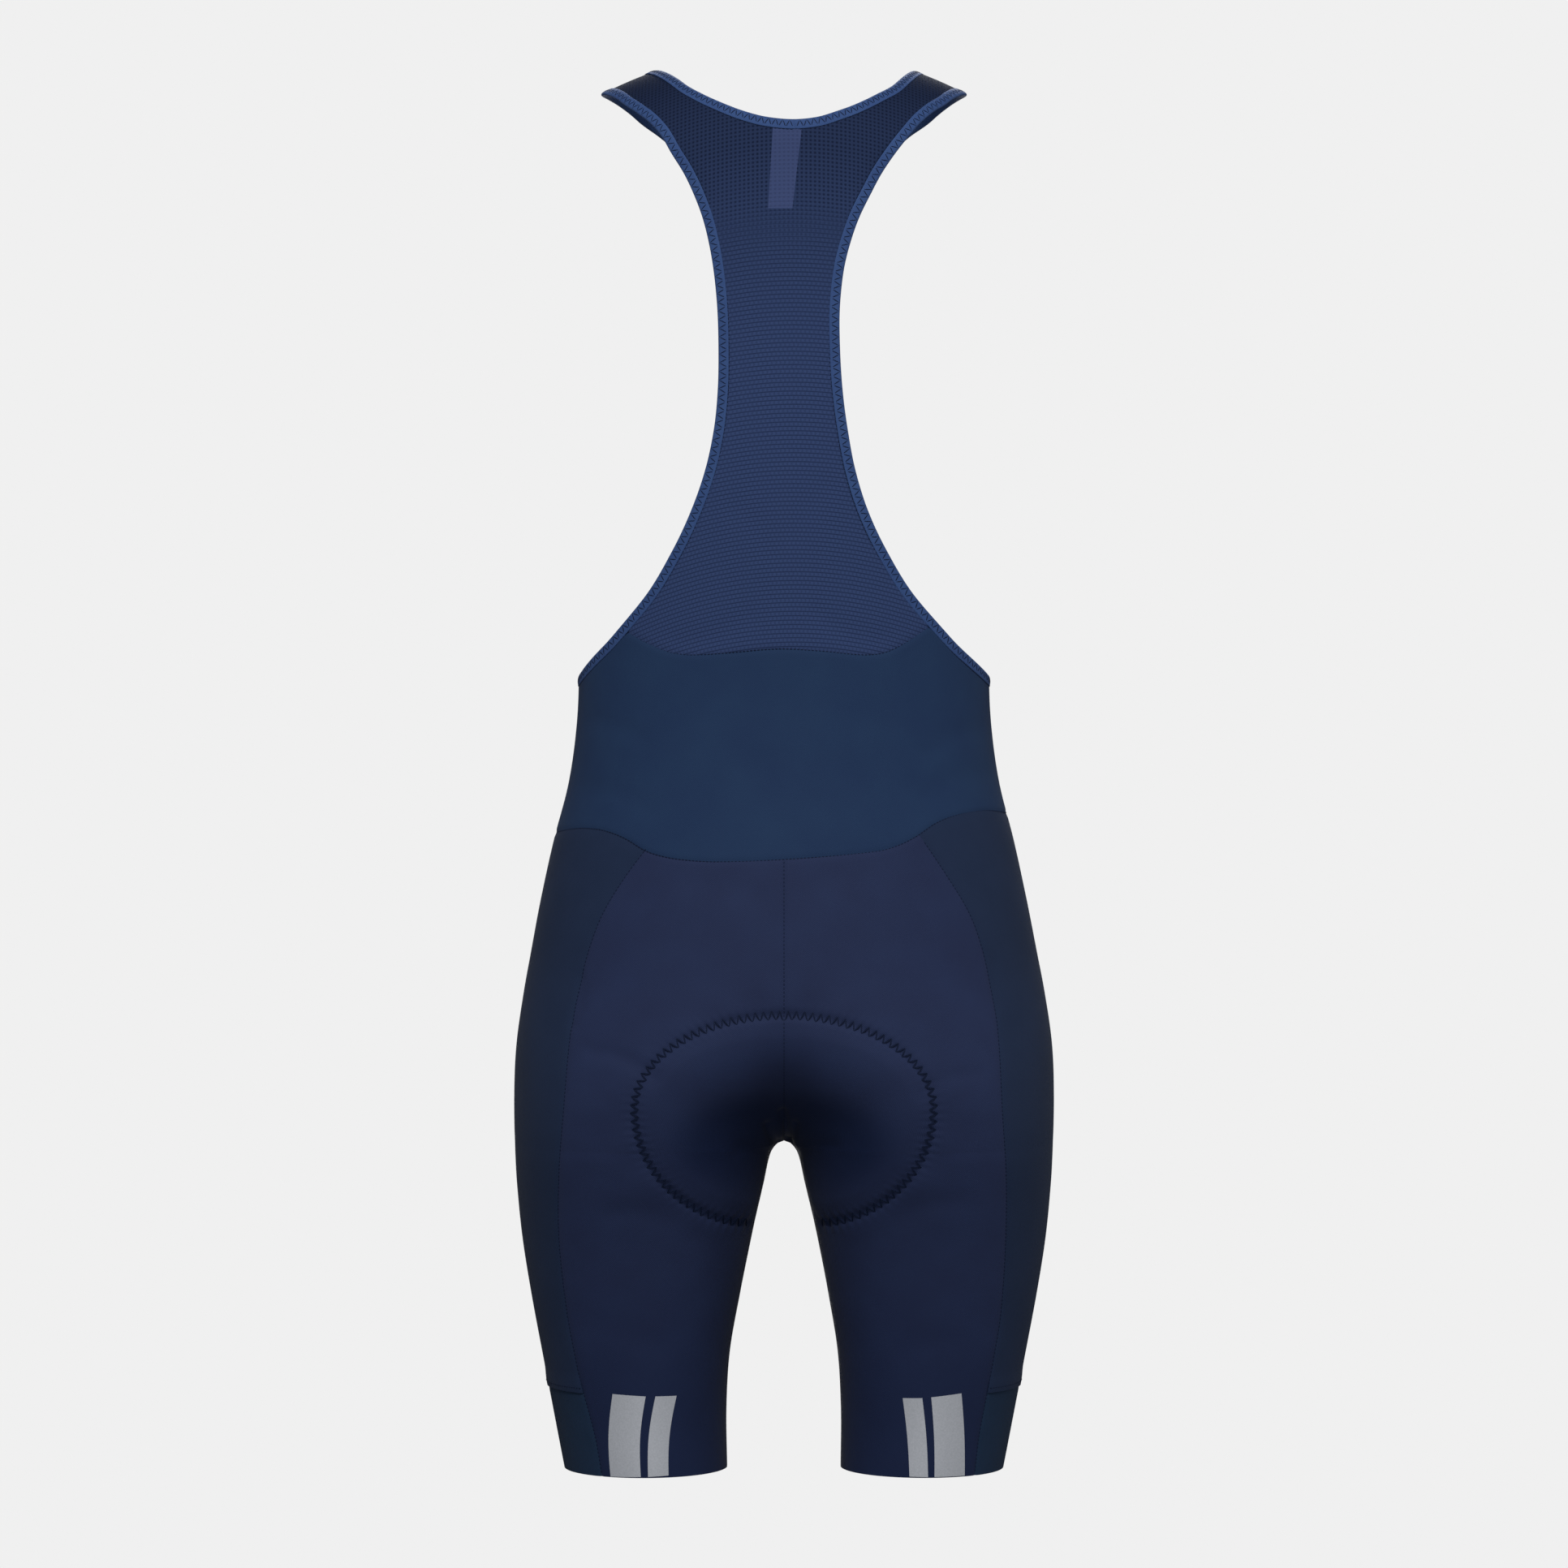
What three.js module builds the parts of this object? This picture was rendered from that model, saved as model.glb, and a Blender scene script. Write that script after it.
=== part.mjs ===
import * as THREE from 'three';

// Cycling bib shorts, filled out as they are worn, with nobody in them. Millimetres, +Z up.
// The front faces -Y and the wearer's left is +X.
// The origin lies midway between the two shoulder seams, level with their inner ends.

// Cloth and trim
const CLOTH = 1.6;
const BINDING_WIDTH = 7;
const BINDING_PROUD = 0.4;
const SEAM_GAP = 0.3;
const PAD_EDGE = 2;
const PAD_CROWN = 7;
const PAD_GAP = 2;
const LABEL_GAP = 0.8;
const LABEL_THICKNESS = 0.5;

// Main levels and places
const NECK_END_X = 88;
const STRAP_END_X = 124;
const SHOULDER_DROP = 15;
const SHOULDER_RADIUS = 75;
const SIDE_POINT_Z = -409;
const HIP_Z = -520;
const CROTCH_Z = -724;
const GRIPPER_Z = -888;
const HEM_Z = -944;

// How finely each piece is divided
const MESH_ROWS = 24;
const RIDGE_COLUMNS = 3;
const NECK_COLUMNS = 10;
const FLANK_COLUMNS = 3;
const YOKE_ROWS = 5;
const SEAT_COLUMNS = 8;
const SIDE_COLUMNS = 6;
const PAD_ROWS = 24;
const PAD_COLUMNS = 14;

// The filled-out form, level by level. back and front are depths from the middle, fork is how far
// the two halves have parted into legs (0 none, 1 fully), bridge is how far the centre seam is
// rounded off, and inner is the line of the inner leg from the crotch down.
const SECTIONS = table(['z', 'halfWidth', 'back', 'front', 'fork', 'bridge', 'inner'], [
  [40, 152, 92, 92, 0, 0, 0],
  [-60, 152, 92, 94, 0, 0, 0],
  [-150, 152, 91, 96, 0, 0, 0],
  [-250, 150, 88, 96, 0, 0, 0],
  [-320, 145, 86, 96, 0, 0, 0],
  [-365, 141, 85, 97, 0, 0, 0],
  [-409, 139, 85, 98, 0, 0, 0],
  [-443, 140.5, 87, 100, 0, 0, 0],
  [-481, 146, 92, 103, 0, 0, 0],
  [-520, 156, 100, 105, 0, 0, 0],
  [-558, 164.2, 108, 105, 0, 0, 0],
  [-597, 171.6, 114, 104, 0, 4, 0],
  [-620, 176, 116.4, 103.5, 0.04, 7, 0],
  [-650, 180.7, 117, 102.3, 0.26, 11, 0],
  [-670, 182.4, 116, 101, 0.48, 12, 0],
  [-693, 182.9, 112.5, 99, 0.745, 12, 0],
  [-712, 182.6, 108, 97, 0.915, 10.5, 0],
  [-724, 182.1, 105, 95, 1, 9, 9],
  [-732, 181.8, 103, 94, 1, 9, 12.8],
  [-751, 180.7, 97, 90, 1, 9, 16.4],
  [-789, 177, 84, 83, 1, 9, 24],
  [-828, 171, 74, 75, 1, 9, 31.3],
  [-866, 163.9, 67, 69, 1, 9, 37.4],
  [-905, 156.2, 61, 63, 1, 9, 39.5],
  [-944, 148.5, 57, 58, 1, 9, 39.2],
]);

// Free edge of the armhole on each side, from the shoulder down to the last point before the side.
// The front edge runs further in near the shoulder by the last value.
const ARMHOLE = table(['z', 'left', 'right', 'frontInset'], [
  [-25, 110, 111, 8],
  [-35, 98.5, 99, 12.5],
  [-43, 89.6, 91, 14.5],
  [-53, 81.5, 83, 14.5],
  [-65, 74.8, 74, 13],
  [-79, 66.3, 64.7, 11],
  [-93, 59.7, 57.3, 9],
  [-108, 54.1, 50, 6],
  [-123, 50.2, 44.6, 3.4],
  [-142, 46.8, 39.8, 1],
  [-168, 44.2, 37, 0],
  [-195, 43.4, 37.1, 0],
  [-222, 43.9, 38.8, 0],
  [-248, 46.5, 42.2, 0],
  [-275, 52.4, 47.4, 0],
  [-302, 62, 56, 0],
  [-328, 74.5, 68.5, 0],
  [-355, 90.8, 85.3, 0],
  [-381, 112.8, 108.4, 0],
  [-394, 125.6, 121.8, 0],
]);

// Free edge of the neck across the back, from beside the shoulder seam to beside its lowest point
const BACK_NECK = table(['z', 'left', 'right'], [
  [-15, 67, 74],
  [-24.5, 54, 61],
  [-32.5, 39, 47],
  [-38, 26, 34],
  [-42, 12, 22],
]);
const BACK_NECK_LOW = { x: -6, z: -43.8 };

// Free edge of the front opening, from beside the shoulder seam to beside its lowest point
const FRONT_NECK = table(['z', 'half'], [
  [-14, 72],
  [-30, 57],
  [-60, 36],
  [-88, 27],
  [-116, 20],
  [-160, 17],
  [-209, 15],
  [-253, 18],
  [-281, 23],
  [-308, 31],
  [-336, 43],
  [-363, 53.5],
  [-385, 58],
  [-404, 57],
  [-422, 47.5],
  [-435, 28],
]);
const FRONT_NECK_LOW = { x: 0, z: -440 };

// Seam under the upper panel, and under the two front straps
const WAIST_SEAM = table(['x', 'z'], [
  [104, -381.5],
  [90, -389],
  [77, -394.4],
  [62, -396.6],
  [37, -395.3],
  [4, -392.8],
  [-27, -394.4],
  [-52, -396.6],
  [-66, -395.2],
  [-78, -390],
  [-95, -379],
]);

// Seam between the yoke and the lower panels, across the back and across the front
const BACK_HIP_SEAM = table(['x', 'z'], [
  [154.4, -514.5],
  [144, -512.2],
  [133, -511.4],
  [120, -512.8],
  [106, -517.8],
  [92, -525.8],
  [81, -529.4],
  [67, -531.7],
  [45, -533],
  [0, -531.4],
  [-61, -526.3],
  [-75, -522.6],
  [-87, -516.9],
  [-101, -507.8],
  [-115, -502.5],
  [-130, -499.9],
  [-139, -499.6],
  [-151, -501.2],
]);
const FRONT_HIP_SEAM = table(['x', 'z'], [
  [154.4, -514.5],
  [130, -518.5],
  [100, -522],
  [60, -526],
  [0, -528],
  [-60, -524],
  [-100, -515],
  [-130, -506.5],
  [-151, -501.2],
]);

// Seam between the side panel and the seat, and between the side panel and the front
const SIDE_SEAM = table(['z', 'left', 'right'], [
  [-516, 84.5, 90],
  [-541, 103.8, 106.8],
  [-567, 119.8, 122.6],
  [-590, 128.8, 131.2],
  [-617, 136, 137.6],
  [-645, 141.4, 141.8],
  [-700, 146, 144.4],
  [-740, 149, 147],
  [-785, 149.6, 147.4],
  [-835, 144.8, 144.8],
  [-871, 138.2, 139],
  [-888, 134, 135.8],
  [-917, 126.2, 130.4],
  [-944, 121.5, 127.5],
]);

// Outline of the seat pad: above and below are its reaches from the level of its greatest width
const PAD_WIDEST_Z = -695;
const PAD_BELOW = 84;
const PAD_BACK = { halfWidth: 98, above: 62 };
const PAD_FRONT = { halfWidth: 60, above: 45 };

// The label's corners on the upper back
const LABEL = { top: -52, bottom: -103, topX: [-11.5, 7.5], bottomX: [-5.5, 10.5], rows: 6, columns: 2 };

// Levels of the lower panels: shares of the way from the crotch up to the hip seam, then depths
// below the crotch
const SHARES_ABOVE = [1, 0.88, 0.76, 0.64, 0.52, 0.41, 0.3, 0.2, 0.115, 0.055, 0.018, 0];
const DEPTHS_BELOW = [2.5, 8, 17, 30, 48, 70, 98, 130, CROTCH_Z - GRIPPER_Z, 192, CROTCH_Z - HEM_Z];
const LOWER_ROWS = SHARES_ABOVE.length + DEPTHS_BELOW.length - 1;
const GRIPPER_ROW = SHARES_ABOVE.length + DEPTHS_BELOW.indexOf(CROTCH_Z - GRIPPER_Z);

// How often a place is found again from the last one, until it no longer moves
const SHOULDER_PASSES = 12;
const SEAM_PASSES = 25;
const HALVINGS = 40;

function table(columns, rows) {
  return rows.map((row) => Object.fromEntries(columns.map((name, i) => [name, row[i]])));
}

// A smooth line through two columns of a table, with straight ends
function lineThrough(rows, from, to) {
  const points = rows.map((row) => [row[from], row[to]]).sort((a, b) => a[0] - b[0]);
  const last = points.length - 1;
  const slopes = points.map((point, i) => {
    const before = points[Math.max(i - 1, 0)];
    const after = points[Math.min(i + 1, last)];
    return (after[1] - before[1]) / (after[0] - before[0]);
  });
  return (at) => {
    if (at <= points[0][0]) return points[0][1] + slopes[0] * (at - points[0][0]);
    if (at >= points[last][0]) return points[last][1] + slopes[last] * (at - points[last][0]);
    const i = points.findIndex((point) => point[0] >= at) - 1;
    const span = points[i + 1][0] - points[i][0];
    const f = (at - points[i][0]) / span;
    const ease = f * f * (3 - 2 * f);
    const rise = points[i][1] * (1 - ease) + points[i + 1][1] * ease;
    return rise + span * (slopes[i] * f * (1 - f) ** 2 - slopes[i + 1] * f * f * (1 - f));
  };
}

const sectionLines = {};
for (const name of ['halfWidth', 'back', 'front', 'fork', 'bridge', 'inner']) {
  sectionLines[name] = lineThrough(SECTIONS, 'z', name);
}
const waistSeam = lineThrough(WAIST_SEAM, 'x', 'z');
const backHipSeam = lineThrough(BACK_HIP_SEAM, 'x', 'z');
const frontHipSeam = lineThrough(FRONT_HIP_SEAM, 'x', 'z');
const sideSeams = { left: lineThrough(SIDE_SEAM, 'z', 'left'), right: lineThrough(SIDE_SEAM, 'z', 'right') };
const SIDE_SIGN = { left: 1, right: -1 };

// Upper body. A place on it is an angle round the torso (0 at the centre, 90 degrees at the side)
// and a length down from the shoulder seam, positive on the back and negative on the front.
function shoulderHeight(x) {
  return (-SHOULDER_DROP * (x * x - NECK_END_X ** 2)) / (STRAP_END_X ** 2 - NECK_END_X ** 2);
}

function lengthToDrop(length) {
  const turn = Math.min(Math.abs(length) / SHOULDER_RADIUS, Math.PI / 2);
  return SHOULDER_RADIUS * (1 - Math.cos(turn)) + Math.abs(length) - turn * SHOULDER_RADIUS;
}

function dropToLength(drop) {
  if (drop >= SHOULDER_RADIUS) return (SHOULDER_RADIUS * Math.PI) / 2 + drop - SHOULDER_RADIUS;
  return SHOULDER_RADIUS * Math.acos(1 - Math.max(drop, 0) / SHOULDER_RADIUS);
}

function torsoPoint(place) {
  const drop = lengthToDrop(place.length);
  let z = -drop;
  let x = 0;
  for (let pass = 0; pass < SHOULDER_PASSES; pass++) {
    x = sectionLines.halfWidth(z) * Math.sin(place.angle);
    z = shoulderHeight(x) - drop;
  }
  const depth = place.length >= 0 ? sectionLines.back(z) : -sectionLines.front(z);
  const turn = Math.min(Math.abs(place.length) / SHOULDER_RADIUS, Math.PI / 2);
  return new THREE.Vector3(x, depth * Math.sin(turn) * Math.cos(place.angle), z);
}

function torsoPlace(x, z, face) {
  const reach = THREE.MathUtils.clamp(x / sectionLines.halfWidth(z), -1, 1);
  return { angle: Math.asin(reach), length: face * dropToLength(shoulderHeight(x) - z) };
}

const ANGLE_STEP = 0.004;
const LENGTH_STEP = 0.5;

function torsoSlopes(place) {
  const along = torsoPoint({ angle: place.angle + ANGLE_STEP, length: place.length });
  along.sub(torsoPoint({ angle: place.angle - ANGLE_STEP, length: place.length }));
  const down = torsoPoint({ angle: place.angle, length: place.length + LENGTH_STEP });
  down.sub(torsoPoint({ angle: place.angle, length: place.length - LENGTH_STEP }));
  along.divideScalar(2 * ANGLE_STEP);
  down.divideScalar(2 * LENGTH_STEP);
  return { along, down, normal: new THREE.Vector3().crossVectors(along, down).normalize() };
}

// The normal is along x down: at the back, +x by -z gives +y, which points out
function torsoVertex(place) {
  return { point: torsoPoint(place), normal: torsoSlopes(place).normal };
}

// Lower body. A ring at one level is an ellipse for each leg, joined above the crotch. A place on
// it is a share of the way round one half, from 0 at the centre back to 1 at the centre front.
const RING_STEPS = 160;
const rings = new Map();

function ringAt(z) {
  if (rings.has(z)) return rings.get(z);
  const legs = z < CROTCH_Z;
  const halfWidth = sectionLines.halfWidth(z);
  const bridge = Math.max(sectionLines.bridge(z), 0);
  const fork = legs ? 1 : THREE.MathUtils.clamp(sectionLines.fork(z), 0, 1);
  const inner = legs ? sectionLines.inner(z) : bridge;
  const radius = (halfWidth - inner) / (1 + fork);
  const centre = halfWidth - radius;
  const end = Math.acos(-fork);
  const stretch = halfWidth / Math.sqrt(halfWidth ** 2 - bridge ** 2);
  const at = (turn) => {
    const angle = end * Math.sin((Math.PI / 2) * turn);
    const plainX = centre + radius * Math.cos(angle);
    const depth = angle > 0 ? sectionLines.back(z) : sectionLines.front(z);
    const x = stretch * Math.sqrt(Math.max(plainX ** 2 - bridge ** 2, 0));
    return new THREE.Vector3(x, depth * Math.sin(angle), z);
  };
  const lengths = [0];
  let before = at(1);
  for (let i = 1; i <= RING_STEPS; i++) {
    const here = at(1 - (2 * i) / RING_STEPS);
    lengths.push(lengths[i - 1] + here.distanceTo(before));
    before = here;
  }
  const total = lengths[RING_STEPS];
  const ring = { at, lengths, total, side: lengths[RING_STEPS / 2] / total, legs };
  rings.set(z, ring);
  return ring;
}

function ringPoint(z, share) {
  const ring = ringAt(z);
  let place = share;
  let sign = 1;
  if (ring.legs) {
    place = share - Math.floor(share);
  } else if (share < 0) {
    place = -share;
    sign = -1;
  } else if (share > 1) {
    place = 2 - share;
    sign = -1;
  }
  const wanted = place * ring.total;
  let low = 0;
  let high = RING_STEPS;
  while (high - low > 1) {
    const middle = (low + high) >> 1;
    if (ring.lengths[middle] > wanted) high = middle;
    else low = middle;
  }
  const part = (wanted - ring.lengths[low]) / (ring.lengths[high] - ring.lengths[low]);
  const point = ring.at(1 - (2 * (low + part)) / RING_STEPS);
  point.x *= sign;
  return point;
}

const SHARE_STEP = 0.004;
const LEVEL_STEP = 0.8;

function ringVertex(z, share) {
  const round = ringPoint(z, share + SHARE_STEP).sub(ringPoint(z, share - SHARE_STEP));
  const up = ringPoint(z + LEVEL_STEP, share).sub(ringPoint(z - LEVEL_STEP, share));
  return { point: ringPoint(z, share), normal: new THREE.Vector3().crossVectors(up, round).normalize() };
}

// Share of the ring where the back (or the front) lies at a distance x from the middle
function shareAt(z, x, face) {
  const ring = ringAt(z);
  let inside = face > 0 ? 0 : 1;
  let outside = ring.side;
  for (let pass = 0; pass < HALVINGS; pass++) {
    const middle = (inside + outside) / 2;
    if (ringPoint(z, middle).x < x) inside = middle;
    else outside = middle;
  }
  return (inside + outside) / 2;
}

// Closed walls. turnedSplit says which quads of the grid are split along their other diagonal.
function bodyFrom(outer, inner, closedRows = false, turnedSplit = () => false) {
  const rows = outer.length;
  const columns = outer[0].length;
  const positions = [];
  for (const layer of [outer, inner]) {
    for (const row of layer) {
      for (const point of row) positions.push(point.x, point.y, point.z);
    }
  }
  const under = rows * columns;
  const index = [];
  const quad = (a, b, c, d, turned) => {
    if (turned) index.push(a, b, d, b, c, d);
    else index.push(a, b, c, a, c, d);
  };
  const rowSteps = closedRows ? rows : rows - 1;
  for (let i = 0; i < rowSteps; i++) {
    const here = i * columns;
    const next = ((i + 1) % rows) * columns;
    for (let j = 0; j < columns - 1; j++) {
      const turned = turnedSplit(i, j);
      quad(here + j, next + j, next + j + 1, here + j + 1, turned);
      quad(under + here + j, under + here + j + 1, under + next + j + 1, under + next + j, turned);
    }
    quad(here, here + under, next + under, next);
    const end = columns - 1;
    quad(here + end, next + end, next + end + under, here + end + under);
  }
  if (!closedRows) {
    const bottom = (rows - 1) * columns;
    for (let j = 0; j < columns - 1; j++) {
      quad(j, j + 1, j + 1 + under, j + under);
      quad(bottom + j, bottom + j + under, bottom + j + 1 + under, bottom + j + 1);
    }
  }
  const geometry = new THREE.BufferGeometry();
  geometry.setAttribute('position', new THREE.Float32BufferAttribute(positions, 3));
  geometry.setIndex(turnedOut(positions, index));
  geometry.computeVertexNormals();
  return geometry;
}

// The same triangles with their faces outwards, judged by the sign of the volume that they close
function turnedOut(positions, index) {
  const corner = (i) => new THREE.Vector3().fromArray(positions, index[i] * 3);
  let volume = 0;
  for (let i = 0; i < index.length; i += 3) {
    volume += corner(i).dot(corner(i + 1).cross(corner(i + 2)));
  }
  if (volume > 0) return index;
  const turned = [];
  for (let i = 0; i < index.length; i += 3) turned.push(index[i], index[i + 2], index[i + 1]);
  return turned;
}

function moved(vertex, distance) {
  return vertex.point.clone().addScaledVector(vertex.normal, distance);
}

function wall(vertices, top = 0, bottom = -CLOTH) {
  return bodyFrom(
    vertices.map((row) => row.map((vertex) => moved(vertex, top))),
    vertices.map((row) => row.map((vertex) => moved(vertex, bottom))),
  );
}

// Free edges, as smooth lines in the torso's own places
const ARC_SCALE = 140;
const CLOTH_INSET = BINDING_WIDTH + SEAM_GAP;

function edgeLine(places, closed) {
  const points = places.map((place) => new THREE.Vector3(place.angle * ARC_SCALE, place.length, 0));
  return new THREE.CatmullRomCurve3(points, closed, 'centripetal');
}

function placeOn(line, t) {
  const point = line.getPoint(t);
  return { angle: point.x / ARC_SCALE, length: point.y };
}

// A place moved in from a free edge by a distance along the cloth. towards is 1 or -1 for the side
// of the line on which the cloth lies.
function inset(line, t, distance, towards) {
  const place = placeOn(line, t);
  const tangent = line.getTangent(t);
  const { along, down, normal } = torsoSlopes(place);
  const run = along.clone().multiplyScalar(tangent.x / ARC_SCALE).addScaledVector(down, tangent.y);
  const across = run.cross(normal).normalize().multiplyScalar(distance * towards);
  const aa = along.dot(along);
  const ad = along.dot(down);
  const dd = down.dot(down);
  const ca = across.dot(along);
  const cd = across.dot(down);
  const det = aa * dd - ad * ad;
  return {
    angle: place.angle + (ca * dd - cd * ad) / det,
    length: place.length + (cd * aa - ca * ad) / det,
  };
}

// The armhole line runs from the side up the back, over the shoulder and down the front
function armholeLine(side) {
  const sign = SIDE_SIGN[side];
  const rows = [...ARMHOLE].reverse();
  const onBack = (row) => torsoPlace(sign * row[side], row.z, 1);
  const onFront = (row) => torsoPlace(sign * (row[side] - row.frontInset), row.z, -1);
  const sideEnd = (face) => {
    const width = sectionLines.halfWidth(SIDE_POINT_Z);
    return torsoPlace(sign * width, SIDE_POINT_Z, face);
  };
  const beyond = (place) => ({ angle: sign * Math.PI - place.angle, length: place.length });
  const back = rows.map(onBack);
  const front = ARMHOLE.map(onFront);
  const top = torsoPlace(sign * STRAP_END_X, shoulderHeight(STRAP_END_X), 1);
  const places = [beyond(back[0]), sideEnd(1), ...back, top, ...front, sideEnd(-1)];
  places.push(beyond(front[front.length - 1]));
  const steps = places.length - 1;
  const ridge = (rows.length + 2) / steps;
  return { line: edgeLine(places, false), start: 1 / steps, ridge, end: 1 - 1 / steps };
}

// The neck line runs from the low point of the back up to the left shoulder, down the left strap,
// round the front opening, and back over the right shoulder
function neckLine() {
  const ridge = (side) => torsoPlace(SIDE_SIGN[side] * NECK_END_X, 0, 1);
  const back = (side) => BACK_NECK.map((row) => torsoPlace(SIDE_SIGN[side] * row[side], row.z, 1));
  const front = (side) => FRONT_NECK.map((row) => torsoPlace(SIDE_SIGN[side] * row.half, row.z, -1));
  const places = [
    torsoPlace(BACK_NECK_LOW.x, BACK_NECK_LOW.z, 1),
    ...back('left').reverse(),
    ridge('left'),
    ...front('left'),
    torsoPlace(FRONT_NECK_LOW.x, FRONT_NECK_LOW.z, -1),
    ...front('right').reverse(),
    ridge('right'),
    ...back('right'),
  ];
  const steps = places.length;
  const leftRidge = (BACK_NECK.length + 1) / steps;
  const frontLow = leftRidge + (FRONT_NECK.length + 1) / steps;
  return { line: edgeLine(places, true), leftRidge, frontLow, rightRidge: 2 * frontLow - leftRidge };
}

// Where an inset line changes from one side of a limit to the other, between two ends of the line
function crossing(line, towards, isBeyond, low, high) {
  const beyond = (t) => isBeyond(inset(line, t, CLOTH_INSET, towards));
  let from = low;
  let to = high;
  const start = beyond(from);
  for (let pass = 0; pass < HALVINGS; pass++) {
    const middle = (from + to) / 2;
    if (beyond(middle) === start) from = middle;
    else to = middle;
  }
  return (from + to) / 2;
}

function aboveWaistSeam(place) {
  const point = torsoPoint(place);
  return point.z > waistSeam(point.x);
}

const behindShoulder = (place) => place.length > 0;

// Rows crowd towards the shoulder, where the cloth bends most
const ROW_CROWDING = 1.25;
const rowShare = (row) => (row / MESH_ROWS) ** ROW_CROWDING;
const mix = THREE.MathUtils.lerp;

// A stretch of a line: its parameter at an even share of the way along it
const STRETCH_STEPS = 120;

function stretch(line, from, to) {
  const wrapped = (t) => (line.closed ? t - Math.floor(t) : t);
  const lengths = [0];
  let before = line.getPoint(wrapped(from));
  for (let i = 1; i <= STRETCH_STEPS; i++) {
    const here = line.getPoint(wrapped(mix(from, to, i / STRETCH_STEPS)));
    lengths.push(lengths[i - 1] + here.distanceTo(before));
    before = here;
  }
  return (share) => {
    const wanted = share * lengths[STRETCH_STEPS];
    const next = Math.max(lengths.findIndex((length) => length >= wanted - 1e-9), 1);
    const part = (wanted - lengths[next - 1]) / (lengths[next] - lengths[next - 1]);
    return wrapped(mix(from, to, (next - 1 + part) / STRETCH_STEPS));
  };
}

// A strap's lower end lies within this many of the neck line's points from the shoulder
const STRAP_POINTS = 14;
const NECK_TOWARDS = -1;
const neck = neckLine();
const neckCrossing = (isBeyond, low, high) => crossing(neck.line, NECK_TOWARDS, isBeyond, low, high);
const RIDGE_SHARE = 1 / neck.line.points.length;
const STRAP_SHARE = STRAP_POINTS * RIDGE_SHARE;
neck.leftSeam = neckCrossing(aboveWaistSeam, neck.leftRidge, neck.leftRidge + STRAP_SHARE);
neck.rightSeam = neckCrossing(aboveWaistSeam, neck.rightRidge, neck.rightRidge - STRAP_SHARE);
neck.leftRidge = neckCrossing(behindShoulder, neck.leftRidge - RIDGE_SHARE, neck.leftRidge + RIDGE_SHARE);
neck.rightRidge = neckCrossing(behindShoulder, neck.rightRidge - RIDGE_SHARE, neck.rightRidge + RIDGE_SHARE);

const armholes = {};
for (const side of ['left', 'right']) {
  const armhole = armholeLine(side);
  armhole.towards = SIDE_SIGN[side];
  const meets = (isBeyond, low, high) => crossing(armhole.line, armhole.towards, isBeyond, low, high);
  armhole.backSeam = meets(aboveWaistSeam, armhole.start, armhole.ridge);
  armhole.frontSeam = meets(aboveWaistSeam, armhole.end, armhole.ridge);
  armhole.ridge = meets(behindShoulder, armhole.ridge - RIDGE_SHARE, armhole.ridge + RIDGE_SHARE);
  armholes[side] = armhole;
}

for (const armhole of Object.values(armholes)) {
  const { line, start, backSeam, ridge, frontSeam, end } = armhole;
  armhole.backFlank = stretch(line, start, backSeam);
  armhole.backRows = stretch(line, ridge, backSeam);
  armhole.frontRows = stretch(line, ridge, frontSeam);
  armhole.frontFlank = stretch(line, end, frontSeam);
}
neck.backStretch = stretch(neck.line, neck.leftRidge, neck.rightRidge - 1);
neck.leftRows = stretch(neck.line, neck.leftRidge, neck.leftSeam);
neck.rightRows = stretch(neck.line, neck.rightRidge, neck.rightSeam);
neck.scoop = stretch(neck.line, neck.leftSeam, neck.rightSeam);

function armholeEdge(side, t) {
  return inset(armholes[side].line, t, CLOTH_INSET, armholes[side].towards);
}

function neckEdge(t) {
  return inset(neck.line, t, CLOTH_INSET, NECK_TOWARDS);
}

// The length at an angle along an edge, straight between its places
function lengthAlong(edge, angle) {
  const within = (j) => (edge[j].angle - angle) * (edge[j + 1].angle - angle) <= 0;
  const found = edge.slice(1).findIndex((_, j) => within(j));
  if (found < 0) return edge[0].length;
  const [a, b] = [edge[found], edge[found + 1]];
  return mix(a.length, b.length, (angle - a.angle) / (b.angle - a.angle));
}

// Four edges of a patch, each a list of places, blended into a grid of places. Across, a row keeps
// the spacing of the top and bottom edges, so that it stays within a narrow waist. A row runs level
// between its two ends, and under the neck it follows the top edge at a growing distance.
const NECK_SPREAD = 0.3;

function patch(top, bottom, left, right) {
  const columns = top.length - 1;
  const face = Math.sign(bottom[0].length);
  const spacing = (edge, j) => (edge[j].angle - edge[0].angle) / (edge[columns].angle - edge[0].angle);
  const excess = (edge, j) => edge[j].length - mix(edge[0].length, edge[columns].length, spacing(edge, j));
  return left.map((start, i) => top.map((_, j) => {
    const down = rowShare(i);
    const across = mix(spacing(top, j), spacing(bottom, j), down);
    const angle = mix(start.angle, right[i].angle, across);
    const level = mix(start.length, right[i].length, across);
    const under = lengthAlong(top, angle) + NECK_SPREAD * (level - top[0].length);
    const drop = face * Math.max(face * (under - level), 0);
    return { angle, length: level + drop + excess(bottom, j) * down };
  }));
}

function steps(count, make) {
  return Array.from({ length: count + 1 }, (_, i) => make(i / count));
}

// Places along a seam at the height of the waist seam, between two x
function waistPlaces(fromX, toX, count, face, offset) {
  return steps(count, (f) => {
    const x = mix(fromX, toX, f);
    return torsoPlace(x, waistSeam(x) + offset, face);
  });
}

// Places on the shoulder seam between two angles, half a gap to one side of it
function ridgePlaces(from, to, count, face) {
  return steps(count, (f) => ({ angle: mix(from, to, f), length: (face * SEAM_GAP) / 2 }));
}

const ridgeAngle = {
  arm: (side) => armholeEdge(side, armholes[side].ridge).angle,
  neck: (side) => neckEdge(side === 'left' ? neck.leftRidge : neck.rightRidge).angle,
};

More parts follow.
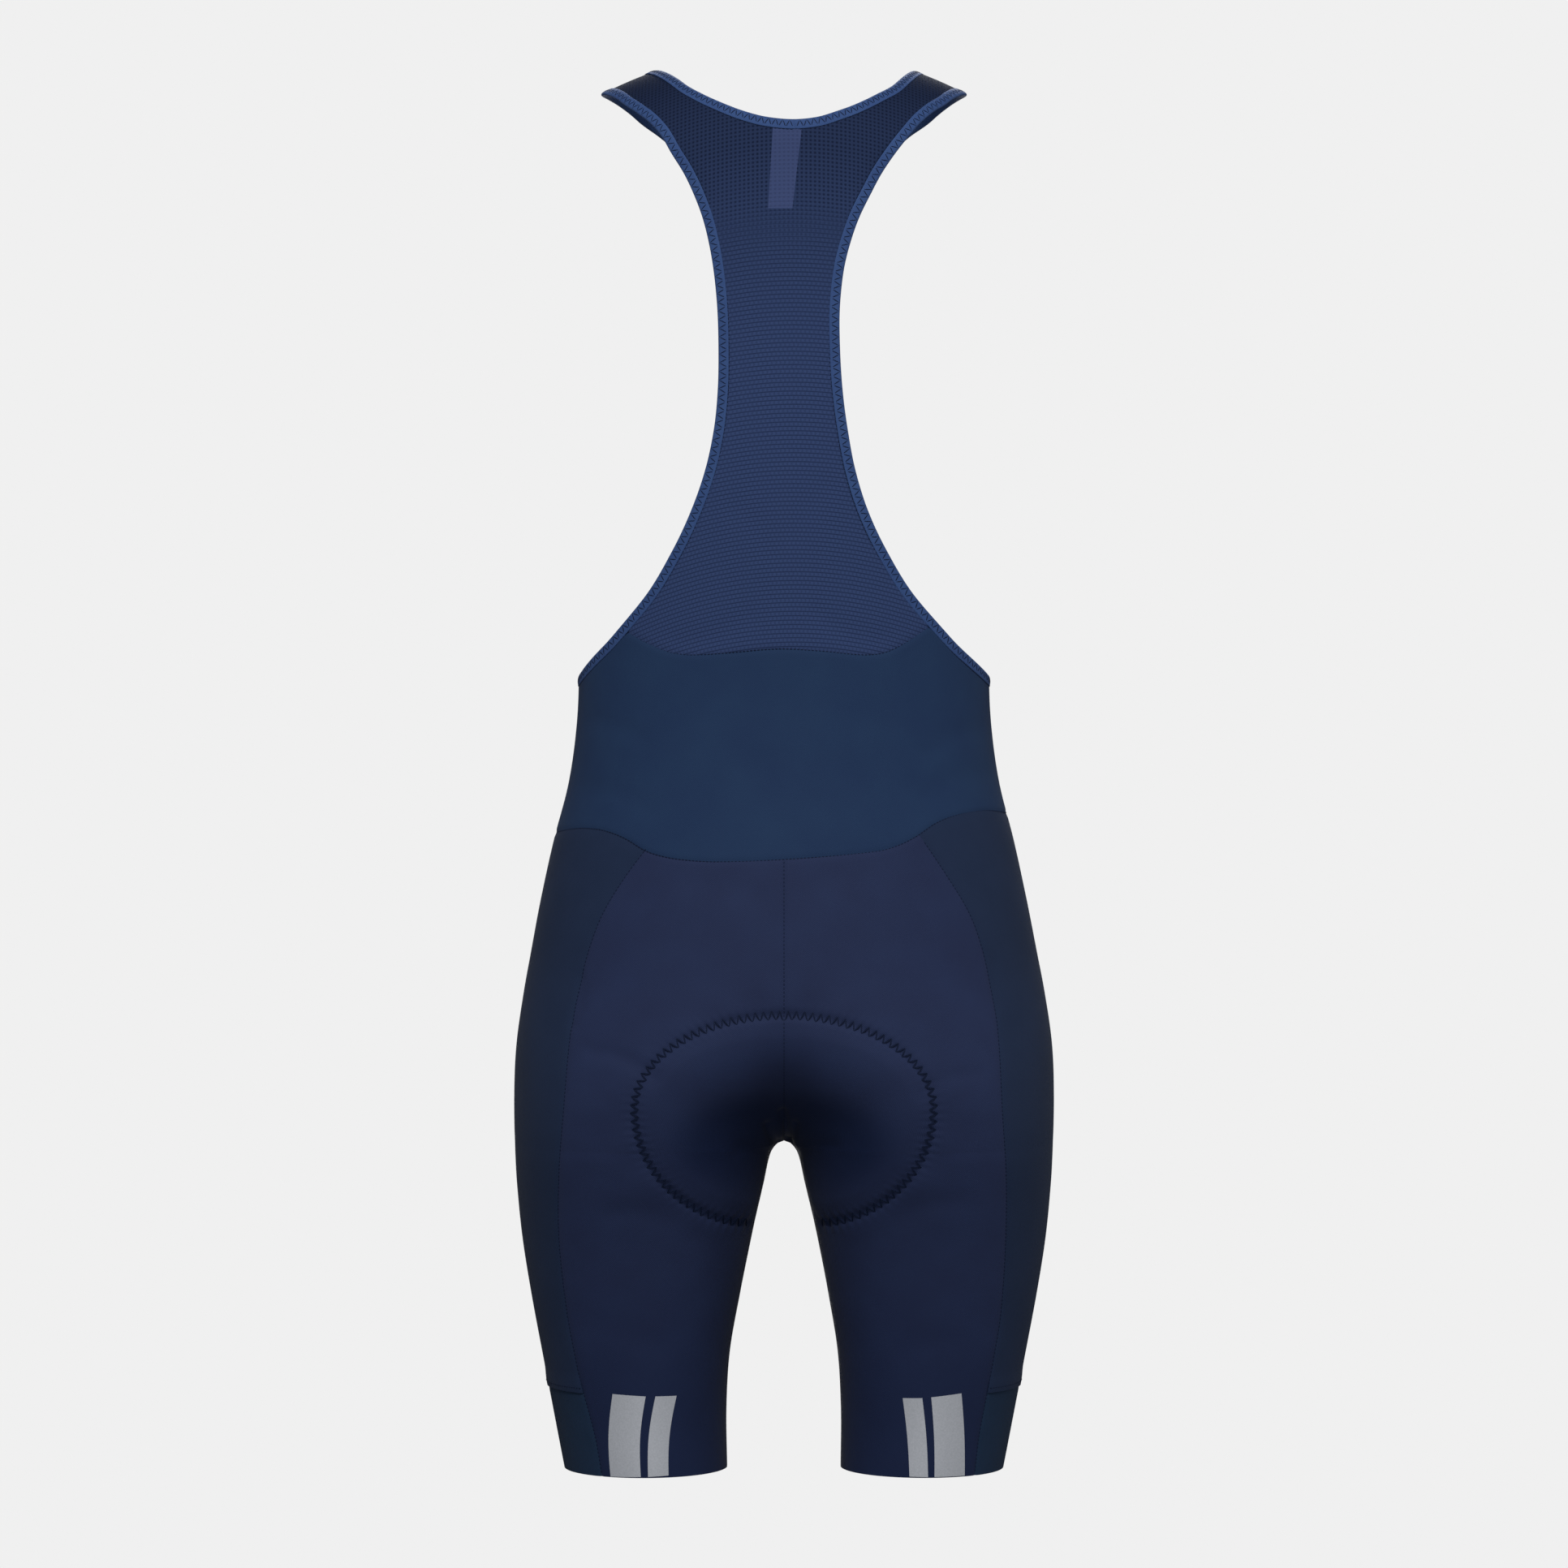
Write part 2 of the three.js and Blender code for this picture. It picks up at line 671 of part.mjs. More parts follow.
function seamX(edge) {
  return torsoPoint(edge).x;
}

function backMeshPanel() {
  const rows = Array.from({ length: MESH_ROWS + 1 }, (_, i) => rowShare(i));
  const sideRows = (side) => rows.map((f) => armholeEdge(side, armholes[side].backRows(f)));
  const left = sideRows('left');
  const right = sideRows('right');
  const leftRidge = ridgePlaces(ridgeAngle.arm('left'), ridgeAngle.neck('left'), RIDGE_COLUMNS, 1);
  const rightRidge = ridgePlaces(ridgeAngle.neck('right'), ridgeAngle.arm('right'), RIDGE_COLUMNS, 1);
  const neckline = steps(NECK_COLUMNS, (f) => neckEdge(neck.backStretch(f)));
  const top = [...leftRidge, ...neckline.slice(1, -1), ...rightRidge];
  const ends = [left, right].map((side) => seamX(side[MESH_ROWS]));
  const bottom = waistPlaces(ends[0], ends[1], top.length - 1, 1, SEAM_GAP / 2);
  left[0] = top[0];
  right[0] = top[top.length - 1];
  left[MESH_ROWS] = bottom[0];
  right[MESH_ROWS] = bottom[bottom.length - 1];
  return patch(top, bottom, left, right);
}

function frontStrap(side) {
  const neckRows = side === 'left' ? neck.leftRows : neck.rightRows;
  const rows = Array.from({ length: MESH_ROWS + 1 }, (_, i) => rowShare(i));
  const outer = rows.map((f) => armholeEdge(side, armholes[side].frontRows(f)));
  const inner = rows.map((f) => neckEdge(neckRows(f)));
  const top = ridgePlaces(ridgeAngle.arm(side), ridgeAngle.neck(side), RIDGE_COLUMNS, -1);
  const ends = [outer, inner].map((edge) => seamX(edge[MESH_ROWS]));
  const bottom = waistPlaces(ends[0], ends[1], RIDGE_COLUMNS, -1, SEAM_GAP / 2);
  outer[0] = top[0];
  inner[0] = top[RIDGE_COLUMNS];
  outer[MESH_ROWS] = bottom[0];
  inner[MESH_ROWS] = bottom[RIDGE_COLUMNS];
  return patch(top, bottom, outer, inner);
}

// Lower panels share their levels and their seams
function hipSeam(side, face) {
  const seam = face > 0 ? backHipSeam : frontHipSeam;
  return (x) => seam(SIDE_SIGN[side] * x);
}

// share(z) gives the place round the ring at each level; the top lies on the hip seam
function lowerColumn(side, share) {
  let topZ = HIP_Z;
  for (let pass = 0; pass < SEAM_PASSES; pass++) {
    const place = share(topZ);
    const face = place <= ringAt(topZ).side ? 1 : -1;
    topZ = hipSeam(side, face)(ringPoint(topZ, place).x);
  }
  const above = SHARES_ABOVE.map((f) => mix(CROTCH_Z, topZ, f));
  const levels = [...above, ...DEPTHS_BELOW.map((depth) => CROTCH_Z - depth)];
  return levels.map((z) => ({ z, share: share(z) }));
}

function seamShare(side, face) {
  return (z) => shareAt(z, sideSeams[side](z), face);
}

function lowerPlaces(side, from, to, count) {
  return steps(count, (f) => lowerColumn(side, (z) => mix(from(z), to(z), f)));
}

function lowerVertices(side, places, firstRow, lastRow, gaps) {
  const columns = places.length - 1;
  const vertices = [];
  for (let row = firstRow; row <= lastRow; row++) {
    vertices.push(places.map((column, j) => {
      let { z, share } = column[row];
      const nudge = SEAM_GAP / 2 / ringAt(z).total;
      if (j === 0) share += nudge;
      if (j === columns) share -= nudge;
      if (row === firstRow) z -= SEAM_GAP / 2;
      if (row === lastRow && gaps.bottom) z += SEAM_GAP / 2;
      return ringVertex(z, share);
    }));
  }
  return vertices;
}

// Keeps a panel to its own side of the centre seam and of the inner leg seam
function keptClear(vertices, face, centreColumn) {
  const half = SEAM_GAP / 2;
  const clear = (point) => point.set(Math.max(point.x, half), face * Math.max(face * point.y, half), point.z);
  const layer = (distance) => vertices.map((row) => row.map((vertex, j) => {
    const point = moved(vertex, distance);
    return j === centreColumn ? clear(point) : point;
  }));
  return [layer(0), layer(-CLOTH)];
}

function mirrored(layers, side) {
  return layers.map((layer) => layer.map((row) => row.map((p) => p.clone().setX(p.x * SIDE_SIGN[side]))));
}

const centre = { back: () => 0, front: () => 1 };

// Columns from the centre seam out to the side panel, crowded where the crotch bends most
const COLUMN_CROWDING = 1.5;

function centrePlaces(side, face) {
  const middle = face > 0 ? centre.back : centre.front;
  const seam = seamShare(side, face);
  return steps(SEAT_COLUMNS, (f) => lowerColumn(side, (z) => mix(middle(z), seam(z), f ** COLUMN_CROWDING)));
}

function seatPanel(side) {
  const places = centrePlaces(side, 1);
  const vertices = lowerVertices(side, places, 0, LOWER_ROWS, { bottom: false });
  return bodyFrom(...mirrored(keptClear(vertices, 1, 0), side));
}

function frontPanel(side) {
  const places = centrePlaces(side, -1).reverse();
  const vertices = lowerVertices(side, places, 0, LOWER_ROWS, { bottom: false });
  return bodyFrom(...mirrored(keptClear(vertices, -1, SEAT_COLUMNS), side));
}

// The side panel's middle column is the outermost line, where the yoke has its side seam
function sidePlaces(side) {
  const back = seamShare(side, 1);
  const front = seamShare(side, -1);
  const outermost = (z) => ringAt(z).side;
  const half = SIDE_COLUMNS / 2;
  return [...lowerPlaces(side, back, outermost, half), ...lowerPlaces(side, outermost, front, half).slice(1)];
}

function sidePanel(side, firstRow, lastRow, gaps) {
  const vertices = lowerVertices(side, sidePlaces(side), firstRow, lastRow, gaps);
  const layer = (distance) => vertices.map((row) => row.map((vertex) => moved(vertex, distance)));
  return bodyFrom(...mirrored([layer(0), layer(-CLOTH)], side));
}

// Yokes. Their columns meet the columns of the panels above and below them.
function hipPlaces(face) {
  const half = SIDE_COLUMNS / 2;
  const across = (side) => {
    const seam = seamShare(side, face);
    const outermost = (z) => ringAt(z).side;
    const flank = lowerPlaces(side, outermost, seam, half);
    return [...flank, ...centrePlaces(side, face).reverse().slice(1)].map((column) => {
      const point = ringPoint(column[0].z, column[0].share);
      const reach = THREE.MathUtils.clamp(point.x / sectionLines.halfWidth(point.z), -1, 1);
      return { angle: SIDE_SIGN[side] * Math.asin(reach), z: point.z + SEAM_GAP / 2 };
    });
  };
  return [...across('left'), ...across('right').reverse().slice(1)];
}

function levelOf(place) {
  return { angle: place.angle, z: torsoPoint(place).z };
}

function flankPlaces(side, face) {
  const flank = face > 0 ? armholes[side].backFlank : armholes[side].frontFlank;
  return steps(FLANK_COLUMNS, (f) => levelOf(armholeEdge(side, flank(f))));
}

function seamLevels(fromX, toX, count, face) {
  return waistPlaces(fromX, toX, count, face, -SEAM_GAP / 2).map(levelOf);
}

function yokeTop(face) {
  const left = flankPlaces('left', face);
  const right = flankPlaces('right', face).reverse();
  const ends = ['left', 'right'].map((side) => {
    const { backSeam, frontSeam } = armholes[side];
    return seamX(armholeEdge(side, face > 0 ? backSeam : frontSeam));
  });
  if (face > 0) {
    const count = 2 * RIDGE_COLUMNS + NECK_COLUMNS;
    return [...left.slice(0, -1), ...seamLevels(ends[0], ends[1], count, face), ...right.slice(1)];
  }
  const leftInner = seamX(neckEdge(neck.leftSeam));
  const rightInner = seamX(neckEdge(neck.rightSeam));
  const scoop = steps(NECK_COLUMNS, (f) => levelOf(neckEdge(neck.scoop(f))));
  return [
    ...left.slice(0, -1),
    ...seamLevels(ends[0], leftInner, RIDGE_COLUMNS, face),
    ...scoop.slice(1, -1),
    ...seamLevels(rightInner, ends[1], RIDGE_COLUMNS, face),
    ...right.slice(1),
  ];
}

function levelPoint(angle, z, face) {
  const depth = face > 0 ? sectionLines.back(z) : -sectionLines.front(z);
  return new THREE.Vector3(sectionLines.halfWidth(z) * Math.sin(angle), depth * Math.cos(angle), z);
}

function levelVertex(angle, z, face) {
  const round = levelPoint(angle + ANGLE_STEP, z, face).sub(levelPoint(angle - ANGLE_STEP, z, face));
  const up = levelPoint(angle, z + LEVEL_STEP, face).sub(levelPoint(angle, z - LEVEL_STEP, face));
  const normal = new THREE.Vector3().crossVectors(up, round).multiplyScalar(-face).normalize();
  return { point: levelPoint(angle, z, face), normal };
}

function yoke(face) {
  const top = yokeTop(face);
  const bottom = hipPlaces(face);
  const half = SEAM_GAP / 2;
  const rows = steps(YOKE_ROWS, (f) => top.map((start, j) => {
    const stop = bottom[j];
    return levelVertex(mix(start.angle, stop.angle, f), mix(start.z, stop.z, f), face);
  }));
  const layers = [0, -CLOTH].map((distance) => rows.map((row) => row.map((vertex, j) => {
    const point = moved(vertex, distance);
    if (j === 0 || j === row.length - 1) point.y = face * half;
    return point;
  })));
  return bodyFrom(...layers);
}

// Bindings: closed strips beside the cloth's edge, a little thicker than it
function bindingLoop(line, towards, stops) {
  const sections = stops.map((t) => {
    const free = torsoVertex(inset(line, t, 0, towards));
    const seam = torsoVertex(inset(line, t, BINDING_WIDTH, towards));
    return [free, seam];
  });
  const layer = (distance) => sections.map((row) => row.map((vertex) => moved(vertex, distance)));
  return bodyFrom(layer(BINDING_PROUD), layer(-CLOTH - BINDING_PROUD), true);
}

// Stops along a stretch, without its last one. Rows crowd towards the shoulder, and backwards
// takes the stretch from its end to its start.
function evenStops(at, count, backwards = false) {
  return Array.from({ length: count }, (_, i) => at(backwards ? 1 - i / count : i / count));
}

function rowStops(at, backwards) {
  return Array.from({ length: MESH_ROWS }, (_, i) => at(rowShare(backwards ? MESH_ROWS - i : i)));
}

function armholeBinding(side) {
  const { line, towards, backFlank, backRows, frontRows, frontFlank } = armholes[side];
  const stops = [
    ...evenStops(backFlank, FLANK_COLUMNS),
    ...rowStops(backRows, true),
    ...rowStops(frontRows, false),
    ...evenStops(frontFlank, FLANK_COLUMNS, true),
  ];
  return bindingLoop(line, towards, stops);
}

function neckBinding() {
  const stops = [
    ...rowStops(neck.leftRows, false),
    ...evenStops(neck.scoop, NECK_COLUMNS),
    ...rowStops(neck.rightRows, true),
    ...evenStops(neck.backStretch, NECK_COLUMNS, true),
  ];
  return bindingLoop(neck.line, NECK_TOWARDS, stops);
}

// The label hangs inside the upper back, sewn in under the neck binding
function neckLabel() {
  const { top, bottom, topX, bottomX, rows, columns } = LABEL;
  const vertices = steps(rows, (v) => steps(columns, (u) => {
    const left = mix(topX[0], bottomX[0], v);
    const right = mix(topX[1], bottomX[1], v);
    return torsoVertex(torsoPlace(mix(left, right, u), mix(top, bottom, v), 1));
  }));
  const outside = -CLOTH - LABEL_GAP;
  return wall(vertices, outside, outside - LABEL_THICKNESS);
}

// Share of the pad's reach below at which its outline meets the inner leg
const INNER_LEG_REACH = 0.98;

// Seat pad: rows run from the centre back, under the crotch, to the centre front. Each row goes
// out from the centre seam to the pad's outline on both legs.
function padOutline(shape, face, f) {
  const innerX = ringPoint(PAD_WIDEST_Z - PAD_BELOW * INNER_LEG_REACH, 0).x;
  const lowest = -Math.acos(innerX / shape.halfWidth);
  const angle = mix(Math.PI / 2, lowest, f);
  const z = PAD_WIDEST_Z + (angle > 0 ? shape.above : PAD_BELOW) * Math.sin(angle);
  const innerLeg = face > 0 ? centre.back() : centre.front();
  return { z, share: f === 1 ? innerLeg : shareAt(z, shape.halfWidth * Math.cos(angle), face) };
}

const PAD_TIP = 0.12;
const PAD_CROWDING = 2.2;

function padRow(face, f) {
  const shape = face > 0 ? PAD_BACK : PAD_FRONT;
  const edge = padOutline(shape, face, mix(PAD_TIP, 1, f));
  const topZ = PAD_WIDEST_Z + shape.above;
  const down = 1 - (1 - f) ** PAD_CROWDING;
  const middle = { z: mix(topZ, CROTCH_Z, down), share: face > 0 ? 0 : 1 };
  return steps(PAD_COLUMNS, (u) => {
    const out = Math.abs(2 * u - 1) ** COLUMN_CROWDING;
    const z = mix(middle.z, edge.z, out);
    const vertex = ringVertex(z, mix(middle.share, edge.share, out));
    if (out === 0) vertex.normal.x = 0;
    const sign = u < 0.5 ? 1 : -1;
    vertex.point.x *= sign;
    vertex.normal.x *= sign;
    vertex.crown = 1 - out * out;
    return vertex;
  });
}

function chamoisPad() {
  const half = PAD_ROWS / 2;
  const back = steps(half, (f) => padRow(1, f));
  const front = steps(half, (f) => padRow(-1, 1 - f));
  const rows = [...back, ...front.slice(1)];
  const outside = -CLOTH - PAD_GAP;
  const crown = (vertex, row) => vertex.crown * Math.sin((Math.PI * (row + 1)) / (PAD_ROWS + 2));
  const layer = (offset) => rows.map((row, i) => row.map((vertex) => moved(vertex, offset(vertex, i))));
  return bodyFrom(
    layer(() => outside),
    layer((vertex, i) => outside - PAD_EDGE - PAD_CROWN * crown(vertex, i)),
    false,
    (i, j) => (i < half) !== (j < PAD_COLUMNS / 2),
  );
}

// Colours of the cloths
const FINISHES = {
  mesh: { color: 0x2b3757, roughness: 0.85 },
  yoke: { color: 0x21304d, roughness: 0.75 },
  seat: { color: 0x232b48, roughness: 0.7 },
  side: { color: 0x1f2740, roughness: 0.7 },
  gripper: { color: 0x162231, roughness: 0.7 },
  binding: { color: 0x2a3f6b, roughness: 0.8 },
  label: { color: 0x394464, roughness: 0.6 },
  pad: { color: 0x1b2130, roughness: 0.9 },
};

const garment = new THREE.Group();

function sew(name, finish, geometry) {
  const material = new THREE.MeshStandardMaterial({ ...FINISHES[finish], metalness: 0 });
  const piece = new THREE.Mesh(geometry, material);
  piece.name = name;
  garment.add(piece);
}

sew('back_mesh_panel', 'mesh', wall(backMeshPanel().map((row) => row.map(torsoVertex))));
sew('back_yoke', 'yoke', yoke(1));
sew('front_yoke', 'yoke', yoke(-1));
for (const side of ['left', 'right']) {
  sew(`front_strap_${side}`, 'mesh', wall(frontStrap(side).map((row) => row.map(torsoVertex))));
  sew(`seat_panel_${side}`, 'seat', seatPanel(side));
  sew(`front_panel_${side}`, 'seat', frontPanel(side));
  sew(`side_panel_${side}`, 'side', sidePanel(side, 0, GRIPPER_ROW, { bottom: true }));
  sew(`leg_gripper_${side}`, 'gripper', sidePanel(side, GRIPPER_ROW, LOWER_ROWS, { bottom: false }));
  sew(`armhole_binding_${side}`, 'binding', armholeBinding(side));
}
sew('neck_binding', 'binding', neckBinding());
sew('neck_label', 'label', neckLabel());
sew('chamois_pad', 'pad', chamoisPad());

export default garment;
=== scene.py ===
import math

import bpy
import numpy as np
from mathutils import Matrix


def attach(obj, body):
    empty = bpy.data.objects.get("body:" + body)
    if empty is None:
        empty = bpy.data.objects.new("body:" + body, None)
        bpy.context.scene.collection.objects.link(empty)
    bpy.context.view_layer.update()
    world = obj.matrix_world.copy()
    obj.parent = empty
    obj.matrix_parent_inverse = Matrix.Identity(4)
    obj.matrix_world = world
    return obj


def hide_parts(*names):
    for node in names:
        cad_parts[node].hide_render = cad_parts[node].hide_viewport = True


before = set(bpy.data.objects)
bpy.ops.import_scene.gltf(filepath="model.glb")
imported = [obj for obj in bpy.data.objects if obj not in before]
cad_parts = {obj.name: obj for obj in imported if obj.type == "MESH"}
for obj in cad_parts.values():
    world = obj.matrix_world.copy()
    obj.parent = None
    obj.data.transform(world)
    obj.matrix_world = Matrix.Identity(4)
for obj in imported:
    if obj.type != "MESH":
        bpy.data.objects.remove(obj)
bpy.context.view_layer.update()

# Studio. A long lens stands level with the middle of the garment and looks straight at its back.
# The ground is pale, and only the camera sees it. Large soft lamps hang above the back and the
# front, so that the light fades down the legs, and weak ones stand low and on each side.
PHOTO_PIXELS = 1932
PIXEL_MM = 0.55
SENSOR_MM = 36
CAMERA_DISTANCE = 3.2
CAMERA_HEIGHT = -0.482
PALE_GREY = "#f0f0f0"
AMBIENT = 0.17


def linear(hex_colour):
    """Turns an sRGB hex colour to linear red, green, blue and a full alpha."""
    parts = [int(hex_colour[i : i + 2], 16) / 255 for i in (1, 3, 5)]
    return tuple(c / 12.92 if c <= 0.04045 else ((c + 0.055) / 1.055) ** 2.4 for c in parts) + (1,)


def set_inputs(tree, node, inputs):
    """Gives each input of a node a value, a link, or the first output of another node."""
    for key, value in inputs.items():
        if isinstance(value, bpy.types.Node):
            value = value.outputs[0]
        if isinstance(value, bpy.types.NodeSocket):
            tree.links.new(value, node.inputs[key])
        else:
            node.inputs[key].default_value = value


def add_node(tree, kind, inputs=None, **settings):
    """Adds a shader node of a kind, with its settings and its inputs."""
    node = tree.nodes.new("ShaderNode" + kind)
    for name, value in settings.items():
        setattr(node, name, value)
    set_inputs(tree, node, inputs or {})
    return node


camera_data = bpy.data.cameras.new("Studio_Camera")
camera_data.sensor_width = SENSOR_MM
camera_data.lens = SENSOR_MM * CAMERA_DISTANCE / (PHOTO_PIXELS * PIXEL_MM / 1000)
camera = bpy.data.objects.new("Studio_Camera", camera_data)
camera.location = (0, CAMERA_DISTANCE, CAMERA_HEIGHT)
camera.rotation_euler = (math.radians(90), 0, math.radians(180))
bpy.context.scene.collection.objects.link(camera)
bpy.context.scene.camera = camera
bpy.context.scene.view_settings.view_transform = "Standard"

world = bpy.data.worlds.new("Studio_Air")
world.use_nodes = True
world.node_tree.nodes.clear()
air = world.node_tree
rays = add_node(air, "LightPath")
soft_light = add_node(air, "Background", {"Color": linear(PALE_GREY), "Strength": AMBIENT})
pale_ground = add_node(air, "Background", {"Color": linear(PALE_GREY), "Strength": 1})
either = add_node(air, "MixShader", {0: rays.outputs["Is Camera Ray"], 1: soft_light, 2: pale_ground})
add_node(air, "OutputWorld", {"Surface": either})
bpy.context.scene.world = world


def soft_lamp(name, place, target, size, power):
    """A square area lamp of that size in metres, turned from its place towards its target."""
    lamp = bpy.data.lights.new(name, "AREA")
    lamp.size = size
    lamp.energy = power
    lamp_object = bpy.data.objects.new(name, lamp)
    lamp_object.location = place
    away = np.array(place, float) - np.array(target, float)
    flat = math.hypot(away[0], away[1])
    lamp_object.rotation_euler = (math.atan2(flat, away[2]), 0, math.atan2(away[0], -away[1]))
    lamp_object.visible_camera = False
    bpy.context.scene.collection.objects.link(lamp_object)


soft_lamp("Lamp_Above_Back", (0.1, 2.2, 1.5), (0, 0, -0.45), 1.3, 82)
soft_lamp("Lamp_Above_Front", (-0.1, -2.2, 1.5), (0, 0, -0.45), 1.3, 82)
soft_lamp("Lamp_Low_Back", (-0.2, 3.4, -0.9), (0, 0, -0.7), 1.2, 23)
soft_lamp("Lamp_Low_Front", (0.2, -3.4, -0.9), (0, 0, -0.7), 1.2, 23)
soft_lamp("Lamp_Left", (2.2, 0.3, -0.1), (0, 0, -0.5), 1.2, 6)
soft_lamp("Lamp_Right", (-2.2, 0.3, -0.1), (0, 0, -0.5), 1.2, 12)

# Seat panels, left and right. Each is one piece of dense stretch knit, from the yoke over the seat
# and the back of the thigh to the hem. The pad beneath rounds them out, and its sewing puckers them.
CLOTH = 1.2
HIP_Z = -520
CROTCH_Z = -724
GRIPPER_Z = -888
HEM_Z = -944
SIDE_SIGN = {"left": 1, "right": -1}

# The filled-out form: half its width, its depths to the back and the front, how far the two halves
# have parted into legs, how far the middle is rounded off, and the line of the inner leg
FORM_NAMES = ("level", "half_width", "back", "front", "fork", "bridge", "inner")
FORM_ROWS = [
    (40, 152, 92, 92, 0, 0, 0),
    (-60, 152, 92, 94, 0, 0, 0),
    (-150, 152, 91, 96, 0, 0, 0),
    (-250, 150, 88, 96, 0, 0, 0),
    (-320, 145, 86, 96, 0, 0, 0),
    (-365, 141, 85, 97, 0, 0, 0),
    (-409, 139, 85, 98, 0, 0, 0),
    (-443, 140.5, 87, 100, 0, 0, 0),
    (-481, 146, 92, 103, 0, 0, 0),
    (-520, 156, 100, 105, 0, 0, 0),
    (-558, 164.2, 108, 105, 0, 0, 0),
    (-597, 171.6, 114, 104, 0, 4, 0),
    (-620, 176, 116.4, 103.5, 0.04, 7, 0),
    (-650, 180.7, 117, 102.3, 0.26, 11, 0),
    (-670, 182.4, 116, 101, 0.48, 12, 0),
    (-693, 182.9, 112.5, 99, 0.745, 12, 0),
    (-712, 182.6, 108, 97, 0.915, 10.5, 0),
    (-724, 182.1, 105, 95, 1, 9, 9),
    (-732, 181.8, 103, 94, 1, 9, 12.8),
    (-751, 180.7, 97, 90, 1, 9, 16.4),
    (-789, 177, 84, 83, 1, 9, 24),
    (-828, 171, 74, 75, 1, 9, 31.3),
    (-866, 163.9, 67, 69, 1, 9, 37.4),
    (-905, 156.2, 61, 63, 1, 9, 39.5),
    (-944, 148.5, 57, 58, 1, 9, 39.2),
]

# Seam under the yoke at the back, as x and height
BACK_HIP_SEAM = [
    (154.4, -514.5), (144, -512.2), (133, -511.4), (120, -512.8), (106, -517.8), (92, -525.8),
    (81, -529.4), (67, -531.7), (45, -533), (0, -531.4), (-61, -526.3), (-75, -522.6),
    (-87, -516.9), (-101, -507.8), (-115, -502.5), (-130, -499.9), (-139, -499.6), (-151, -501.2),
]

# The same seam across the front
FRONT_HIP_SEAM = [
    (154.4, -514.5), (130, -518.5), (100, -522), (60, -526), (0, -528), (-60, -524), (-100, -515),
    (-130, -506.5), (-151, -501.2),
]

# Seam to the side panel, as height and distance from the middle on the left and on the right
SIDE_SEAM = [
    (-516, 84.5, 90), (-541, 103.8, 106.8), (-567, 119.8, 122.6), (-590, 128.8, 131.2),
    (-617, 136, 137.6), (-645, 141.4, 141.8), (-700, 146, 144.4), (-740, 149, 147),
    (-785, 149.6, 147.4), (-835, 144.8, 144.8), (-871, 138.2, 139), (-888, 134, 135.8),
    (-917, 126.2, 130.4), (-944, 121.5, 127.5),
]

# The pad's outline, reaching above and below the level of its greatest width, its stitches, and
# how high it raises, draws in and puckers the cloth
PAD_WIDEST_Z = -695
PAD_BELOW = 84
PAD_BACK = {"half_width": 98, "above": 62}
PAD_FRONT = {"half_width": 60, "above": 45}
PAD_STITCH_PITCH = 5.3
PAD_SWELLING = 1.7
PAD_ROLLED_EDGE = 0.5
PAD_GROOVE = 1.1
PAD_PUCKER = 0.55
PAD_RIPPLE = 0.5

# Soft creases on the seat and on the front: the x and height of both ends of each, how far its
# middle bows sideways, its depth and its half width
SEAT_CREASES = [
    (1, -700, -2, -727, 1, 2.6, 3),
    (11, -709, 2, -726, -2, 2.0, 3),
    (-8, -708, -2, -725, 1, 1.2, 2.6),
    (30, -724, 6, -733, 3, 0.9, 5),
    (-33, -722, -7, -732, -3, 0.8, 5),
    (42, -706, -42, -706, 0, 2.0, 19),
    (126, -658, 86, -673, 4, 1.1, 6),
    (-128, -672, -92, -683, -4, 0.7, 6),
    (134, -611, 140, -640, 2, 0.9, 4),
    (-139, -600, -143, -628, -2, 0.6, 4),
    (112, -765, 62, -782, 7, 0.8, 9),
    (-116, -757, -66, -779, -7, 0.7, 9),
    (120, -846, 84, -856, 4, 0.5, 10),
    (-114, -852, -80, -861, -4, 0.5, 10),
    (60, -548, 18, -556, 3, 0.5, 9),
    (-50, -543, -14, -551, -3, 0.4, 9),
]
FRONT_CREASES = [
    (2, -700, -1, -727, 1, 2.2, 3),
    (12, -706, 3, -726, -2, 1.4, 3),
    (-10, -705, -3, -725, 2, 1.2, 3),
    (36, -716, 7, -731, 3, 1.0, 5),
    (-40, -712, -8, -730, -3, 0.9, 5),
    (96, -650, 48, -690, 8, 0.9, 8),
    (-92, -642, -50, -682, -7, 0.8, 8),
    (110, -772, 66, -790, 6, 0.7, 9),
    (-106, -764, -62, -786, -6, 0.6, 9),
    (70, -552, 24, -561, 3, 0.5, 9),
    (-62, -548, -20, -556, -3, 0.5, 9),
]


def smooth_line(places, values):
    """Cubic pieces through the points, each slope taken across its neighbours; straight beyond the ends."""
    order = np.argsort(places)
    x, y = np.asarray(places, float)[order], np.asarray(values, float)[order]
    before, after = np.arange(len(x)) - 1, np.arange(len(x)) + 1
    before[0], after[-1] = 0, len(x) - 1
    slope = (y[after] - y[before]) / (x[after] - x[before])

    def line(at):
        at = np.asarray(at, float)
        i = np.clip(np.searchsorted(x, at) - 1, 0, len(x) - 2)
        span = x[i + 1] - x[i]
        part = (at - x[i]) / span
        f = np.clip(part, 0, 1)
        ease = f * f * (3 - 2 * f)
        bend = span * (slope[i] * f * (1 - f) ** 2 - slope[i + 1] * f * f * (1 - f))
        beyond = span * (slope[i] * np.minimum(part, 0) + slope[i + 1] * np.maximum(part - 1, 0))
        return y[i] * (1 - ease) + y[i + 1] * ease + bend + beyond

    return line


